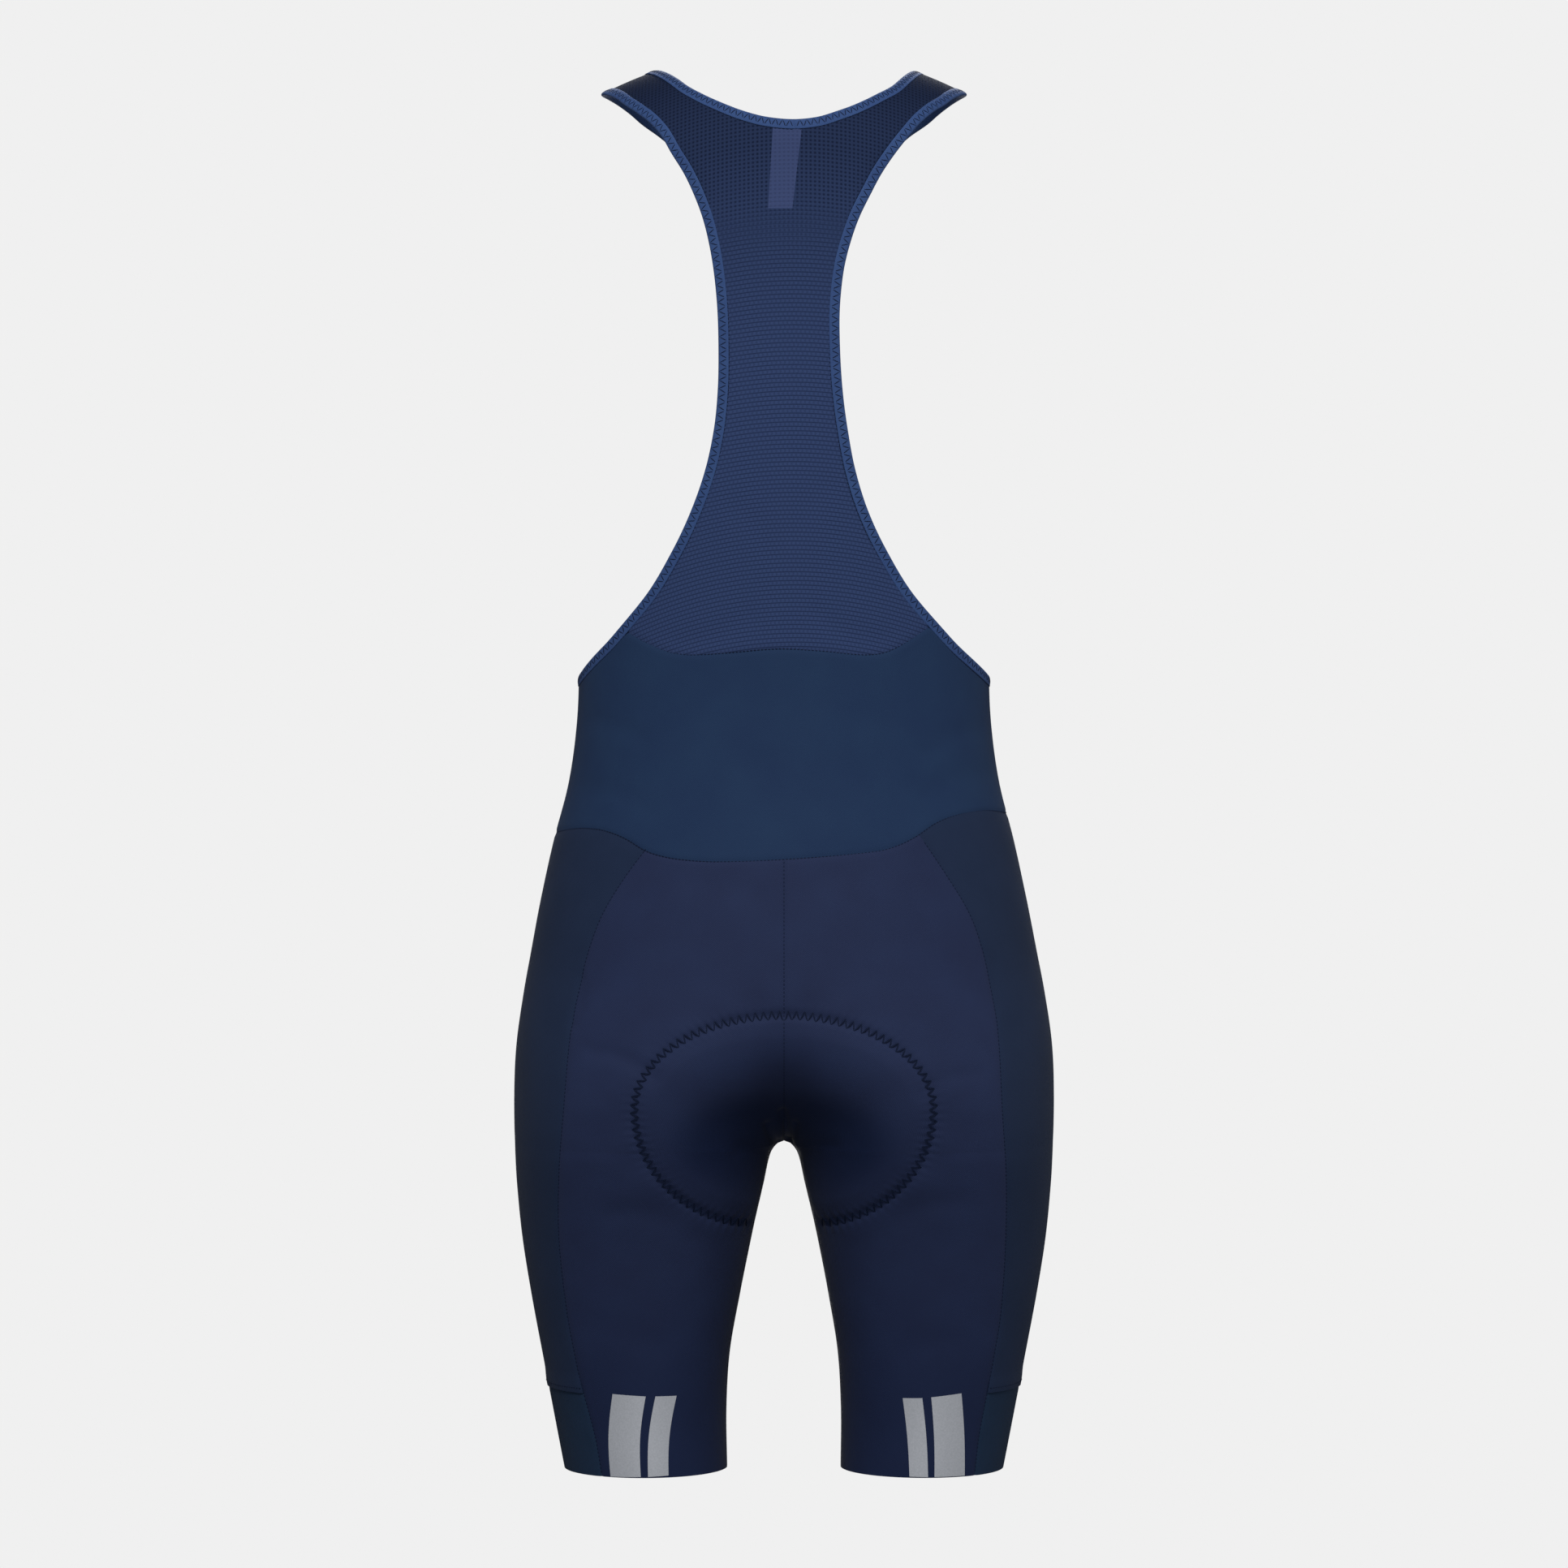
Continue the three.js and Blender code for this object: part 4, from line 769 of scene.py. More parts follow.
def torso_place(x, z, face):
    """The angle and the length at which the upper body has that x and height."""
    drop = np.maximum(shoulder_height(x) - z, 0)
    near = SHOULDER_RADIUS * np.arccos(np.clip(1 - drop / SHOULDER_RADIUS, -1, 1))
    far = SHOULDER_RADIUS * np.pi / 2 + drop - SHOULDER_RADIUS
    length = face * np.where(drop >= SHOULDER_RADIUS, far, near)
    return np.arcsin(np.clip(x / form["half_width"](z), -1, 1)), length


def torso_slopes(angle, length):
    """How the point moves with the angle and with the length, and the outward normal across both."""
    along = torso_point(angle + TURN_STEP, length) - torso_point(angle - TURN_STEP, length)
    down = torso_point(angle, length + LENGTH_STEP) - torso_point(angle, length - LENGTH_STEP)
    return along / (2 * TURN_STEP), down / (2 * LENGTH_STEP), unit(np.cross(along, down))


def edge_line(places, closed):
    """A centripetal Catmull-Rom curve through places, as angle and length at a parameter from 0 to 1."""
    dots = np.array(places, float) * [ARC_SCALE, 1]
    count = len(dots)
    if closed:
        padded = np.concatenate([dots[-1:], dots, dots[:2]])
    else:
        padded = np.concatenate([2 * dots[:1] - dots[1:2], dots, 2 * dots[-1:] - dots[-2:-1]])
    pieces = count if closed else count - 1

    def line(t):
        spot = (np.mod(t, 1) if closed else np.clip(t, 0, 1)) * pieces
        i = np.minimum(spot.astype(int), pieces - 1)
        f = (spot - i)[..., None]
        p = [padded[i + k] for k in range(4)]
        g = [np.sqrt(np.linalg.norm(p[k + 1] - p[k], axis=-1))[..., None] for k in range(3)]
        start = ((p[1] - p[0]) / g[0] - (p[2] - p[0]) / (g[0] + g[1]) + (p[2] - p[1]) / g[1]) * g[1]
        stop = ((p[2] - p[1]) / g[1] - (p[3] - p[1]) / (g[1] + g[2]) + (p[3] - p[2]) / g[2]) * g[1]
        curve = p[1] + start * f + (3 * (p[2] - p[1]) - 2 * start - stop) * f**2
        return curve + (2 * (p[1] - p[2]) + start + stop) * f**3

    return line


def inset(edge, t, distance):
    """The place at a distance from a free edge, measured along the cloth: the step across the edge
    is turned into steps of angle and length by the two slopes there."""
    line, towards = edge
    spot, step = line(t), line(t + 0.0001) - line(t - 0.0001)
    angle, length = spot[..., 0] / ARC_SCALE, spot[..., 1]
    along, down, normal = torso_slopes(angle, length)
    run = along * step[..., :1] / ARC_SCALE + down * step[..., 1:]
    across = unit(np.cross(run, normal)) * towards * np.asarray(distance)[..., None]
    aa, ad, dd = (along**2).sum(-1), (along * down).sum(-1), (down**2).sum(-1)
    ca, cd = (across * along).sum(-1), (across * down).sum(-1)
    det = aa * dd - ad**2
    return angle + (ca * dd - cd * ad) / det, length + (cd * aa - ca * ad) / det


def crossing(edge, value, low, high):
    """The parameter at which a value of the tucked edge changes sign, from low towards high."""
    t = np.linspace(low, high, 3001)
    found = value(*inset(edge, t, TUCK))
    i = int(np.argmax(np.sign(found) != np.sign(found[0])))
    return t[i - 1] + (t[i] - t[i - 1]) * found[i - 1] / (found[i - 1] - found[i])


def above_waist_seam(angle, length):
    """How far a place lies above the seam under the mesh."""
    point = torso_point(angle, length)
    return point[..., 2] - waist_seam(point[..., 0])


def behind_shoulder(angle, length):
    """How far a place lies behind the shoulder seam."""
    return length


def even_stops(edge, low, high, parts):
    """Parameters at even parts of the length between two parameters of a line."""
    t = np.linspace(low, high, 601)
    steps = np.linalg.norm(np.diff(edge[0](t), axis=0), axis=1)
    return np.interp(parts, np.concatenate([[0], np.cumsum(steps)]) / steps.sum(), t)


armholes, armhole_marks = {}, {}
for side, sign in SIDE_SIGN.items():
    column = 1 if side == "left" else 2
    heights = np.array([row[0] for row in ARMHOLE], float)
    reaches = np.array([row[column] for row in ARMHOLE], float)
    front_reaches = reaches - np.array([row[3] for row in ARMHOLE], float)
    behind = np.stack(torso_place(sign * reaches, heights, 1), -1)[::-1]
    before = np.stack(torso_place(sign * front_reaches, heights, -1), -1)
    side_x = sign * float(form["half_width"](SIDE_POINT_Z))
    ends = [np.stack(torso_place(side_x, SIDE_POINT_Z, face), -1)[None] for face in (1, -1)]
    top = np.stack(torso_place(sign * STRAP_END_X, shoulder_height(STRAP_END_X), 1), -1)[None]
    beyond = [np.array([[sign * np.pi - place[0], place[1]]]) for place in (behind[0], before[-1])]
    places = np.concatenate([beyond[0], ends[0], behind, top, before, ends[1], beyond[1]])
    steps = len(places) - 1
    armholes[side] = (edge_line(places, False), sign)
    marks = {"start": 1 / steps, "end": 1 - 1 / steps}
    ridge = (len(behind) + 2) / steps
    marks["back_seam"] = crossing(armholes[side], above_waist_seam, marks["start"], ridge)
    marks["front_seam"] = crossing(armholes[side], above_waist_seam, marks["end"], ridge)
    marks["ridge"] = crossing(armholes[side], behind_shoulder, ridge - 0.4 / steps, ridge + 0.4 / steps)
    armhole_marks[side] = marks

back_neck = {"left": [torso_place(x, z, 1) for z, x, _ in BACK_NECK],
             "right": [torso_place(-x, z, 1) for z, _, x in BACK_NECK]}
front_neck = {side: [torso_place(sign * x, z, -1) for z, x in FRONT_NECK] for side, sign in SIDE_SIGN.items()}
neck_ends = {side: [torso_place(sign * NECK_END_X, 0.0, 1)] for side, sign in SIDE_SIGN.items()}
neck_places = np.concatenate([
    [torso_place(*BACK_NECK_LOW, 1)], back_neck["left"][::-1], neck_ends["left"], front_neck["left"],
    [torso_place(*FRONT_NECK_LOW, -1)], front_neck["right"][::-1], neck_ends["right"], back_neck["right"],
])
neck = (edge_line(neck_places, True), -1)
neck_step = 1 / len(neck_places)
left_ridge = (len(BACK_NECK) + 1) * neck_step
front_low = left_ridge + (len(FRONT_NECK) + 1) * neck_step
right_ridge = 2 * front_low - left_ridge
neck_marks = {
    "left_seam": crossing(neck, above_waist_seam, left_ridge, left_ridge + 14 * neck_step),
    "right_seam": crossing(neck, above_waist_seam, right_ridge, right_ridge - 14 * neck_step),
    "left": crossing(neck, behind_shoulder, left_ridge - neck_step, left_ridge + neck_step),
    "right": crossing(neck, behind_shoulder, right_ridge - neck_step, right_ridge + neck_step),
}


def level_point(angle, z, face):
    """A point of the waist at a level: half width times the sine, depth times the cosine."""
    depth = form["back"](z) if face > 0 else -form["front"](z)
    return np.stack([form["half_width"](z) * np.sin(angle), depth * np.cos(angle), z + 0 * angle], -1)


def level_normal(angle, z, face):
    """The outward normal of the waist, from near points round it and up it."""
    around = level_point(angle + TURN_STEP, z, face) - level_point(angle - TURN_STEP, z, face)
    up = level_point(angle, z + LEVEL_STEP, face) - level_point(angle, z - LEVEL_STEP, face)
    return unit(np.cross(up, around)) * face


def yoke_top(face):
    """The yoke's upper edge as angles and heights: under the armhole's binding, along the seam,
    and at the front along the scoop."""
    edges = []
    flank_parts = np.linspace(0, 1, 27)
    seam_name = "back_seam" if face > 0 else "front_seam"
    start_name = "start" if face > 0 else "end"
    seam_ends = {}
    for side in ("left", "right"):
        marks = armhole_marks[side]
        t = even_stops(armholes[side], marks[start_name], marks[seam_name], flank_parts)
        angle, length = inset(armholes[side], t, TUCK)
        point = torso_point(angle, length)
        seam_ends[side] = point[-1, 0]
        edges.append(np.stack([angle, point[:, 2]], -1))

    def along_seam(x1, x2, count):
        x = np.linspace(x1, x2, count)
        angle, length = torso_place(x, waist_seam(x), face)
        return np.stack([angle, torso_point(angle, length)[:, 2]], -1)

    if face > 0:
        middle = [along_seam(seam_ends["left"], seam_ends["right"], 90)]
    else:
        t = even_stops(neck, neck_marks["left_seam"], neck_marks["right_seam"], np.linspace(0, 1, 80))
        angle, length = inset(neck, t, TUCK)
        scoop = torso_point(angle, length)
        middle = [along_seam(seam_ends["left"], scoop[0, 0], 16), np.stack([angle, scoop[:, 2]], -1)[1:-1],
                  along_seam(scoop[-1, 0], seam_ends["right"], 16)]
    return np.concatenate([edges[0][:-1], *middle, edges[1][:-1][::-1]])


YOKE_CREASES = {
    1: [(128, -440, 96, -452, 3, 0.5, 7), (-130, -446, -98, -460, -3, 0.5, 7),
        (20, -470, -60, -476, 4, 0.35, 12), (132, -486, 92, -498, 4, 0.5, 8),
        (-134, -476, -96, -489, -4, 0.5, 8)],
    -1: [(120, -446, 80, -462, 4, 0.7, 8), (-124, -442, -84, -458, -4, 0.6, 8),
         (50, -470, -30, -480, 6, 0.8, 10), (30, -494, -50, -500, -5, 0.6, 9),
         (134, -486, 96, -502, 4, 0.6, 8)],
}
yoke_knit = knit_material("Smooth_Matt_Knit_Blue_Navy", ("#192a47", "#1c2f4b"), 0.75, 0.015, 1.0, 1.2, 0.1)
for face, name in ((1, "Back_Yoke"), (-1, "Front_Yoke")):
    edge = yoke_top(face)
    angle = edge[:, 0]
    seam = back_hip_seam if face > 0 else front_hip_seam
    low = HIP_Z + 0 * angle
    for _ in range(25):
        low = seam(form["half_width"](low) * np.sin(angle))
    down = crowded(52, 0.4)[:, None]
    z = edge[:, 1] * (1 - down) + low * down
    points, normals = level_point(angle, z, face), level_normal(angle, z, face)
    height = unevenness(points) + crease_height(points, YOKE_CREASES[face], face)
    height += seam_dip(points, ("left", "right", "bottom", "top"))
    layers = wall_layers(points, normals, height)
    for layer in layers:
        layer[:, (0, -1), 1] = 0
    yoke = add_wall(name, *layers, np.stack([angle * ARC_SCALE + 0 * z, z], -1), yoke_knit)
    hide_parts(name.lower())

# Back mesh panel: one piece of light micro mesh, from the waist seam up to both shoulders. The
# knit is open in small square holes between the shoulders, and turns to fine cross ribs below.
MESH_HOLE = 2.7
MESH_RIB = 2.9
# Painted shade on the shoulders: how far the mesh's colour is darkened at the shoulder seam, and the length
# down the cloth over which it fades
MESH_PAINTED_SHADE = 0.78
MESH_PAINTED_SHADE_LENGTH = 270
NECK_SPREAD = 0.3

# The label behind the mesh: its top, its length, and x at the upper and the lower end of each edge
LABEL_TOP = -52
LABEL_LENGTH = 51
LABEL_EDGES = {"left": (7.5, 10.5), "right": (-11.5, -5.5)}
LABEL_SHOW = 0.45


def patch(top, bottom, left, right, down):
    """Blends four edges, as angles and lengths, into a grid. Across, a row keeps the spacing of the
    top and bottom edges. It runs level between its two ends, and under the neck it follows the top
    edge at a growing distance, so that no two rows cross. The bottom's sag comes in going down."""

    def spacing(edge):
        return (edge[:, 0] - edge[0, 0]) / (edge[-1, 0] - edge[0, 0])

    face, down = np.sign(bottom[0, 1]), down[:, None]
    across = spacing(top) * (1 - down) + spacing(bottom) * down
    angle = left[:, :1] * (1 - across) + right[:, :1] * across
    level = left[:, 1:] * (1 - across) + right[:, 1:] * across
    order = np.argsort(top[:, 0])
    under = np.interp(angle, top[order, 0], top[order, 1]) + NECK_SPREAD * (level - top[0, 1])
    drop = face * np.maximum(face * (under - level), 0)
    sag = bottom[:, 1] - bottom[0, 1] - (bottom[-1, 1] - bottom[0, 1]) * spacing(bottom)
    return angle, level + drop + sag * down


def tucked(edge, low, high, parts):
    """Places along a free edge's tuck under its binding, at even parts of its length."""
    return np.stack(inset(edge, even_stops(edge, low, high, parts), TUCK), -1)


def ridge_places(from_angle, to_angle, count):
    """Places along the shoulder seam between two angles."""
    return np.stack([np.linspace(from_angle, to_angle, count), np.zeros(count)], -1)


def waist_places(from_place, to_place, count, face):
    """Places along the waist seam between two places on it."""
    x = np.linspace(torso_point(*from_place)[0], torso_point(*to_place)[0], count)
    return np.stack(torso_place(x, waist_seam(x), face), -1)


def mesh_material(name, label):
    """Micro mesh. Holes are the product of two pulses a real hole apart, ribs are pulses of the
    length alone, and the two blend by the length down the cloth; both are painted darker, as painted
    shade of the inside seen through the holes and in the grooves between the ribs. Towards the
    shoulders the colour is darkened further, as painted shade on the shoulders, which face up away
    from the light. A label lying close behind shows through as a paler patch between its straight
    edges, whose x follows from the height."""
    material, tree, shader = new_material(name)
    cloth = add_node(tree, "Attribute", attribute_name="cloth").outputs["Vector"]
    apart = add_node(tree, "SeparateXYZ", {0: cloth})
    across, length = apart.outputs[0], apart.outputs[1]
    down = add_node(tree, "Math", {0: across, 1: -0.03, 2: length}, operation="MULTIPLY_ADD")

    def pulse(value, pitch, shift=0.0):
        """Rises from 0 to 1 and falls again once to a pitch, as half of one plus a cosine."""
        turned = add_node(tree, "Math", {0: value, 1: 2 * math.pi / pitch, 2: shift},
                          operation="MULTIPLY_ADD")
        wave = add_node(tree, "Math", {0: turned}, operation="COSINE")
        return add_node(tree, "Math", {0: wave, 1: 0.5, 2: 0.5}, operation="MULTIPLY_ADD")

    holes = add_node(tree, "Math", {0: pulse(across, MESH_HOLE), 1: pulse(down, MESH_HOLE)},
                     operation="MULTIPLY")
    sharp = add_node(tree, "Math", {0: pulse(down, MESH_RIB), 1: 5.0}, operation="POWER")
    rib = add_node(tree, "Math", {0: sharp, 1: 0.75}, operation="MULTIPLY")
    half_turned = add_node(tree, "Math", {0: down, 1: math.pi / MESH_RIB}, operation="MULTIPLY")
    row = add_node(tree, "Math", {0: half_turned}, operation="SINE")
    shift = add_node(tree, "Math", {0: row, 1: math.pi / 2}, operation="MULTIPLY")
    dots = add_node(tree, "Math", {0: pulse(across, MESH_HOLE, shift), 1: 2.0}, operation="POWER")
    faint = add_node(tree, "Math", {0: dots, 1: 0.35}, operation="MULTIPLY")
    ribbed = add_node(tree, "Math", {0: rib, 1: faint}, operation="MAXIMUM")
    drift = add_node(tree, "TexNoise", {"Vector": cloth, "Scale": 0.03})
    wandering = add_node(tree, "Math", {0: drift, 1: 60.0, 2: down}, operation="MULTIPLY_ADD")
    lower = add_node(tree, "MapRange", {"Value": wandering, "From Min": 165.0, "From Max": 225.0},
                     interpolation_type="SMOOTHSTEP")
    # The holes and the grooves between the ribs are painted dark: painted shade of the garment's inside seen
    # through the holes, and in the grooves
    dark = add_node(tree, "Mix", {0: lower, 2: holes, 3: ribbed})
    fibre = add_node(tree, "TexNoise", {"Vector": cloth, "Scale": 1.3, "Detail": 2.0})
    yarn = add_node(tree, "Mix", {0: fibre, 6: linear("#283553"), 7: linear("#334268")},
                    data_type="RGBA").outputs[2]
    # Painted shade in the holes and the rib grooves
    colour = add_node(tree, "Mix", {0: dark, 6: yarn, 7: linear("#161f38")}, data_type="RGBA").outputs[2]
    # Painted shade: the colour darkens towards the shoulders, which face up away from the light
    from_seam = add_node(tree, "Math", {0: length}, operation="ABSOLUTE")
    high = add_node(tree, "MapRange", {
        "Value": from_seam, "From Min": 0.0, "From Max": MESH_PAINTED_SHADE_LENGTH,
        "To Min": MESH_PAINTED_SHADE, "To Max": 0.0}, interpolation_type="SMOOTHSTEP")
    colour = add_node(tree, "Mix", {0: high, 6: colour, 7: linear("#05070f")}, data_type="RGBA").outputs[2]
    if label:
        spot = add_node(tree, "SeparateXYZ", {0: add_node(tree, "TexCoord").outputs["Object"]})
        drop = add_node(tree, "Math", {
            0: spot.outputs[2], 1: -1000 / LABEL_LENGTH, 2: LABEL_TOP / LABEL_LENGTH,
        }, operation="MULTIPLY_ADD")
        shown = add_node(tree, "Math", {0: drop, 1: 1.0}, operation="LESS_THAN")
        for side, towards in (("left", 1), ("right", -1)):
            start, stop = (towards * end for end in LABEL_EDGES[side])
            edge = add_node(tree, "Math", {0: drop, 1: stop - start, 2: start}, operation="MULTIPLY_ADD")
            inside = add_node(tree, "Math", {0: spot.outputs[0], 1: -1000.0 * towards, 2: edge},
                              operation="MULTIPLY_ADD")
            within = add_node(tree, "Math", {0: inside, 1: 0.0}, operation="GREATER_THAN")
            shown = add_node(tree, "Math", {0: shown, 1: within}, operation="MULTIPLY")
        shown = add_node(tree, "Math", {0: shown, 1: LABEL_SHOW}, operation="MULTIPLY")
        colour = add_node(tree, "Mix", {0: shown, 6: colour, 7: linear("#424d74")},
                          data_type="RGBA").outputs[2]
    sunk = add_node(tree, "Math", {0: dark, 1: 2.0}, operation="MULTIPLY")
    raised = add_node(tree, "Math", {0: fibre, 1: sunk}, operation="SUBTRACT")
    bump = add_node(tree, "Bump", {"Height": raised, "Strength": 0.45, "Distance": 0.0002})
    set_inputs(tree, shader, {
        "Base Color": colour, "Normal": bump, "Roughness": 0.85, "Specular IOR Level": 0.02,
    })
    return material


MESH_DOWN = np.linspace(0, 1, 190) ** 1.25
MESH_CREASES = [
    (24, -372, 70, -388, 4, 0.5, 8), (-22, -370, -66, -386, -4, 0.5, 8), (34, -300, 8, -330, 4, 0.35, 8),
    (-28, -286, -6, -318, -4, 0.3, 8), (78, -66, 52, -96, 4, 0.6, 6), (-78, -62, -50, -90, -4, 0.6, 6),
]
back_neckline = tucked(neck, neck_marks["left"], neck_marks["right"] - 1, np.linspace(0, 1, 91))
sides = {side: tucked(armholes[side], marks["ridge"], marks["back_seam"], MESH_DOWN)
         for side, marks in armhole_marks.items()}
top_edge = np.concatenate([
    ridge_places(sides["left"][0, 0], back_neckline[0, 0], 18)[:-1], back_neckline,
    ridge_places(back_neckline[-1, 0], sides["right"][0, 0], 18)[1:],
])
low_edge = waist_places(sides["left"][-1], sides["right"][-1], len(top_edge), 1)
angle, length = patch(top_edge, low_edge, sides["left"], sides["right"], MESH_DOWN)
points, (_, _, normals) = torso_point(angle, length), torso_slopes(angle, length)
height = unevenness(points) + crease_height(points, MESH_CREASES, 1) + seam_dip(points, ("bottom",))
cloth = np.stack([angle * ARC_SCALE, length], -1)
back_mesh = add_wall("Back_Mesh_Panel", *wall_layers(points, normals, height), cloth,
                     mesh_material("Open_Micro_Mesh_Navy", True))
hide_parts("back_mesh_panel")

# Front straps, left and right, of the same mesh: each runs from the shoulder seam down the chest
# and widens to the front yoke.
strap_mesh = mesh_material("Micro_Mesh_Navy", False)
for side in ("left", "right"):
    marks = armhole_marks[side]
    outer_edge = tucked(armholes[side], marks["ridge"], marks["front_seam"], MESH_DOWN)
    inner_edge = tucked(neck, neck_marks[side], neck_marks[f"{side}_seam"], MESH_DOWN)
    top_edge = ridge_places(outer_edge[0, 0], inner_edge[0, 0], 25)
    low_edge = waist_places(outer_edge[-1], inner_edge[-1], 25, -1)
    angle, length = patch(top_edge, low_edge, outer_edge, inner_edge, MESH_DOWN)
    length = np.minimum(length, 0)
    points, (_, _, normals) = torso_point(angle, length), torso_slopes(angle, length)
    height = unevenness(points) + seam_dip(points, ("bottom",))
    cloth = np.stack([angle * ARC_SCALE, length], -1)
    strap = add_wall(f"Front_Strap_{side.title()}", *wall_layers(points, normals, height), cloth, strap_mesh)
    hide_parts(f"front_strap_{side}")

# Bindings: folded elastic round both armholes and round the neck and front opening, brighter blue
# than the mesh. Each encloses the cloth's raw edge and is held by a zigzag of dark thread.
BINDING_WIDTH = 7

# The binding's section, outside and inside its fold, as distance in from the edge and height
BINDING_OUTSIDE = [
    (7.0, 0.35), (6.8, 0.5), (6.2, 0.58), (4.6, 0.62), (3.0, 0.62), (1.6, 0.56), (0.75, 0.34), (0.2, -0.1),
    (0.0, -0.7), (0.2, -1.3), (0.75, -1.74), (1.6, -1.96), (3.0, -2.02), (4.6, -2.02), (6.2, -1.98),
    (6.8, -1.9), (7.0, -1.75),
]
BINDING_INSIDE = [
    (7.0, -1.4), (5.4, -1.4), (3.2, -1.4), (1.6, -1.3), (0.85, -1.0), (0.7, -0.7), (0.85, -0.4), (1.6, -0.1),
    (3.2, 0.0), (5.4, 0.0), (7.0, 0.0),
]
ZIGZAG_THREAD = 0.65
ZIGZAG_LIFT = 0.28
ZIGZAG_REACH = (0.9, 6.3)
EDGE_THREAD = 0.55
SEAM_THREAD = 0.6
SEAM_LIFT = 0.12
elastic = knit_material("Folded_Elastic_Blue", ("#2a3e68", "#30466f"), 0.7, 0.02, 0.9, 1.1, 0.15, 25)

# Polyester sewing thread, dark navy and matt. It is drawn two to three times as coarse as it is,
# so that each seam shows in a picture of the whole garment.
thread, thread_tree, thread_shader = new_material("Polyester_Thread_Dark_Navy")
thread_place = add_node(thread_tree, "TexCoord").outputs["Object"]
twist = add_node(thread_tree, "TexNoise", {"Vector": thread_place, "Scale": 1500.0})
thread_tone = add_node(thread_tree, "Mix", {0: twist, 6: linear("#0b1223"), 7: linear("#141d34")},
                       data_type="RGBA").outputs[2]
set_inputs(thread_tree, thread_shader, {
    "Base Color": thread_tone, "Roughness": 0.7, "Specular IOR Level": 0.05,
})


def add_stitches(name, starts, ends, normals, thick, lift, slot):
    """Many stitches as one mesh: each thread runs from its start to its end, arched by lift along
    the normal as half a sine, with a square section that thins where it goes into the cloth."""
    along = np.linspace(0, 1, 5)
    corner = (np.pi / 4 + np.arange(4) * np.pi / 2)[:, None]
    run = ends - starts
    aside = unit(np.cross(run, normals))
    arch = (lift * np.sin(np.pi * along) - 0.35 * thick)[None, :, None]
    line = starts[:, None] + run[:, None] * along[None, :, None] + normals[:, None] * arch
    radius = (thick * 0.62 * np.sin(np.pi * (0.15 + 0.7 * along)))[None, :, None, None]
    ring = aside[:, None, None] * np.cos(corner) + normals[:, None, None] * np.sin(corner)
    points = (line[:, :, None] + ring * radius).reshape(-1, 3)
    tube = grid_quads(5, 4, closed_columns=True)
    caps = np.array([[3, 2, 1, 0], [16, 17, 18, 19]])
    one = np.concatenate([tube, caps])[:, ::-1]
    quads = (one[None] + 20 * np.arange(len(starts))[:, None, None]).reshape(-1, 4)
    add_piece(name, points, quads, thread)


def seam_stitches(name, points, normals, slot, pitch, length, sink, thick=SEAM_THREAD, lift=SEAM_LIFT):
    """Straight stitches along a line of points, one at each pitch by the length along the line, and
    sunk below it."""
    steps = np.linalg.norm(np.diff(points, axis=0), axis=1)
    far = np.concatenate([[0], np.cumsum(steps)])
    starts = np.arange(0.3, far[-1] - length, pitch)

    def at(values, places):
        return np.stack([np.interp(places, far, values[:, k]) for k in range(3)], -1)

    lowered = points - normals * sink
    middles = unit(at(normals, starts + length / 2))
    add_stitches(name, at(lowered, starts), at(lowered, starts + length), middles, thick, lift, slot)


def add_binding(name, edge, t, node, pitch):
    """The folded elastic along a free edge: its section is carried along the edge's parameters, each
    point at its distance in from the edge and its height off the form. Zigzag stitches cross it."""
    section = np.array(BINDING_OUTSIDE + BINDING_INSIDE)
    rows = []
    for distance, height in section:
        place = inset(edge, t, np.full(len(t), distance))
        rows.append(torso_point(*place) + torso_slopes(*place)[2] * height)
    grid = np.stack(rows, axis=1)
    quads = grid_quads(len(t), len(section), closed_rows=True, closed_columns=True)
    steps = np.linalg.norm(np.diff(grid[:, 4], axis=0, append=grid[:1, 4]), axis=1)
    run = np.concatenate([[0], np.cumsum(steps[:-1])])
    cloth = np.stack(np.broadcast_arrays(section[:, 0], run[:, None]), -1)
    made = add_piece(name, grid.reshape(-1, 3), quads, elastic, cloth.reshape(-1, 2))
    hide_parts(node)
    count = 2 * int(round(run[-1] / pitch))
    stops = np.interp(np.linspace(0, run[-1], count + 1), run, t)
    place = inset(edge, stops, np.where(np.arange(count + 1) % 2, *ZIGZAG_REACH))
    normals = torso_slopes(*place)[2]
    corners = torso_point(*place) + normals * 0.5
    add_stitches(f"{name}_Zigzag", corners[:-1], corners[1:], unit(normals[:-1] + normals[1:]),
                 ZIGZAG_THREAD, ZIGZAG_LIFT, "binding_elastic")
    place = inset(edge, t, np.full(len(t), BINDING_WIDTH + 0.25))
    seam_stitches(f"{name}_Edge_Stitch", torso_point(*place), torso_slopes(*place)[2], "binding_elastic",
                  pitch=2.6, length=2.1, sink=0.05, thick=EDGE_THREAD, lift=0.1)


for side in ("left", "right"):
    marks = armhole_marks[side]
    t = even_stops(armholes[side], marks["start"], marks["end"], np.linspace(0, 1, 560))[:-1]
    add_binding(f"Armhole_Binding_{side.title()}", armholes[side], t, f"armhole_binding_{side}",
                pitch=5.7)
neck_stops = even_stops(neck, 0, 1, np.linspace(0, 1, 780))[:-1]
add_binding("Neck_Binding", neck, neck_stops, "neck_binding", pitch=4.7)

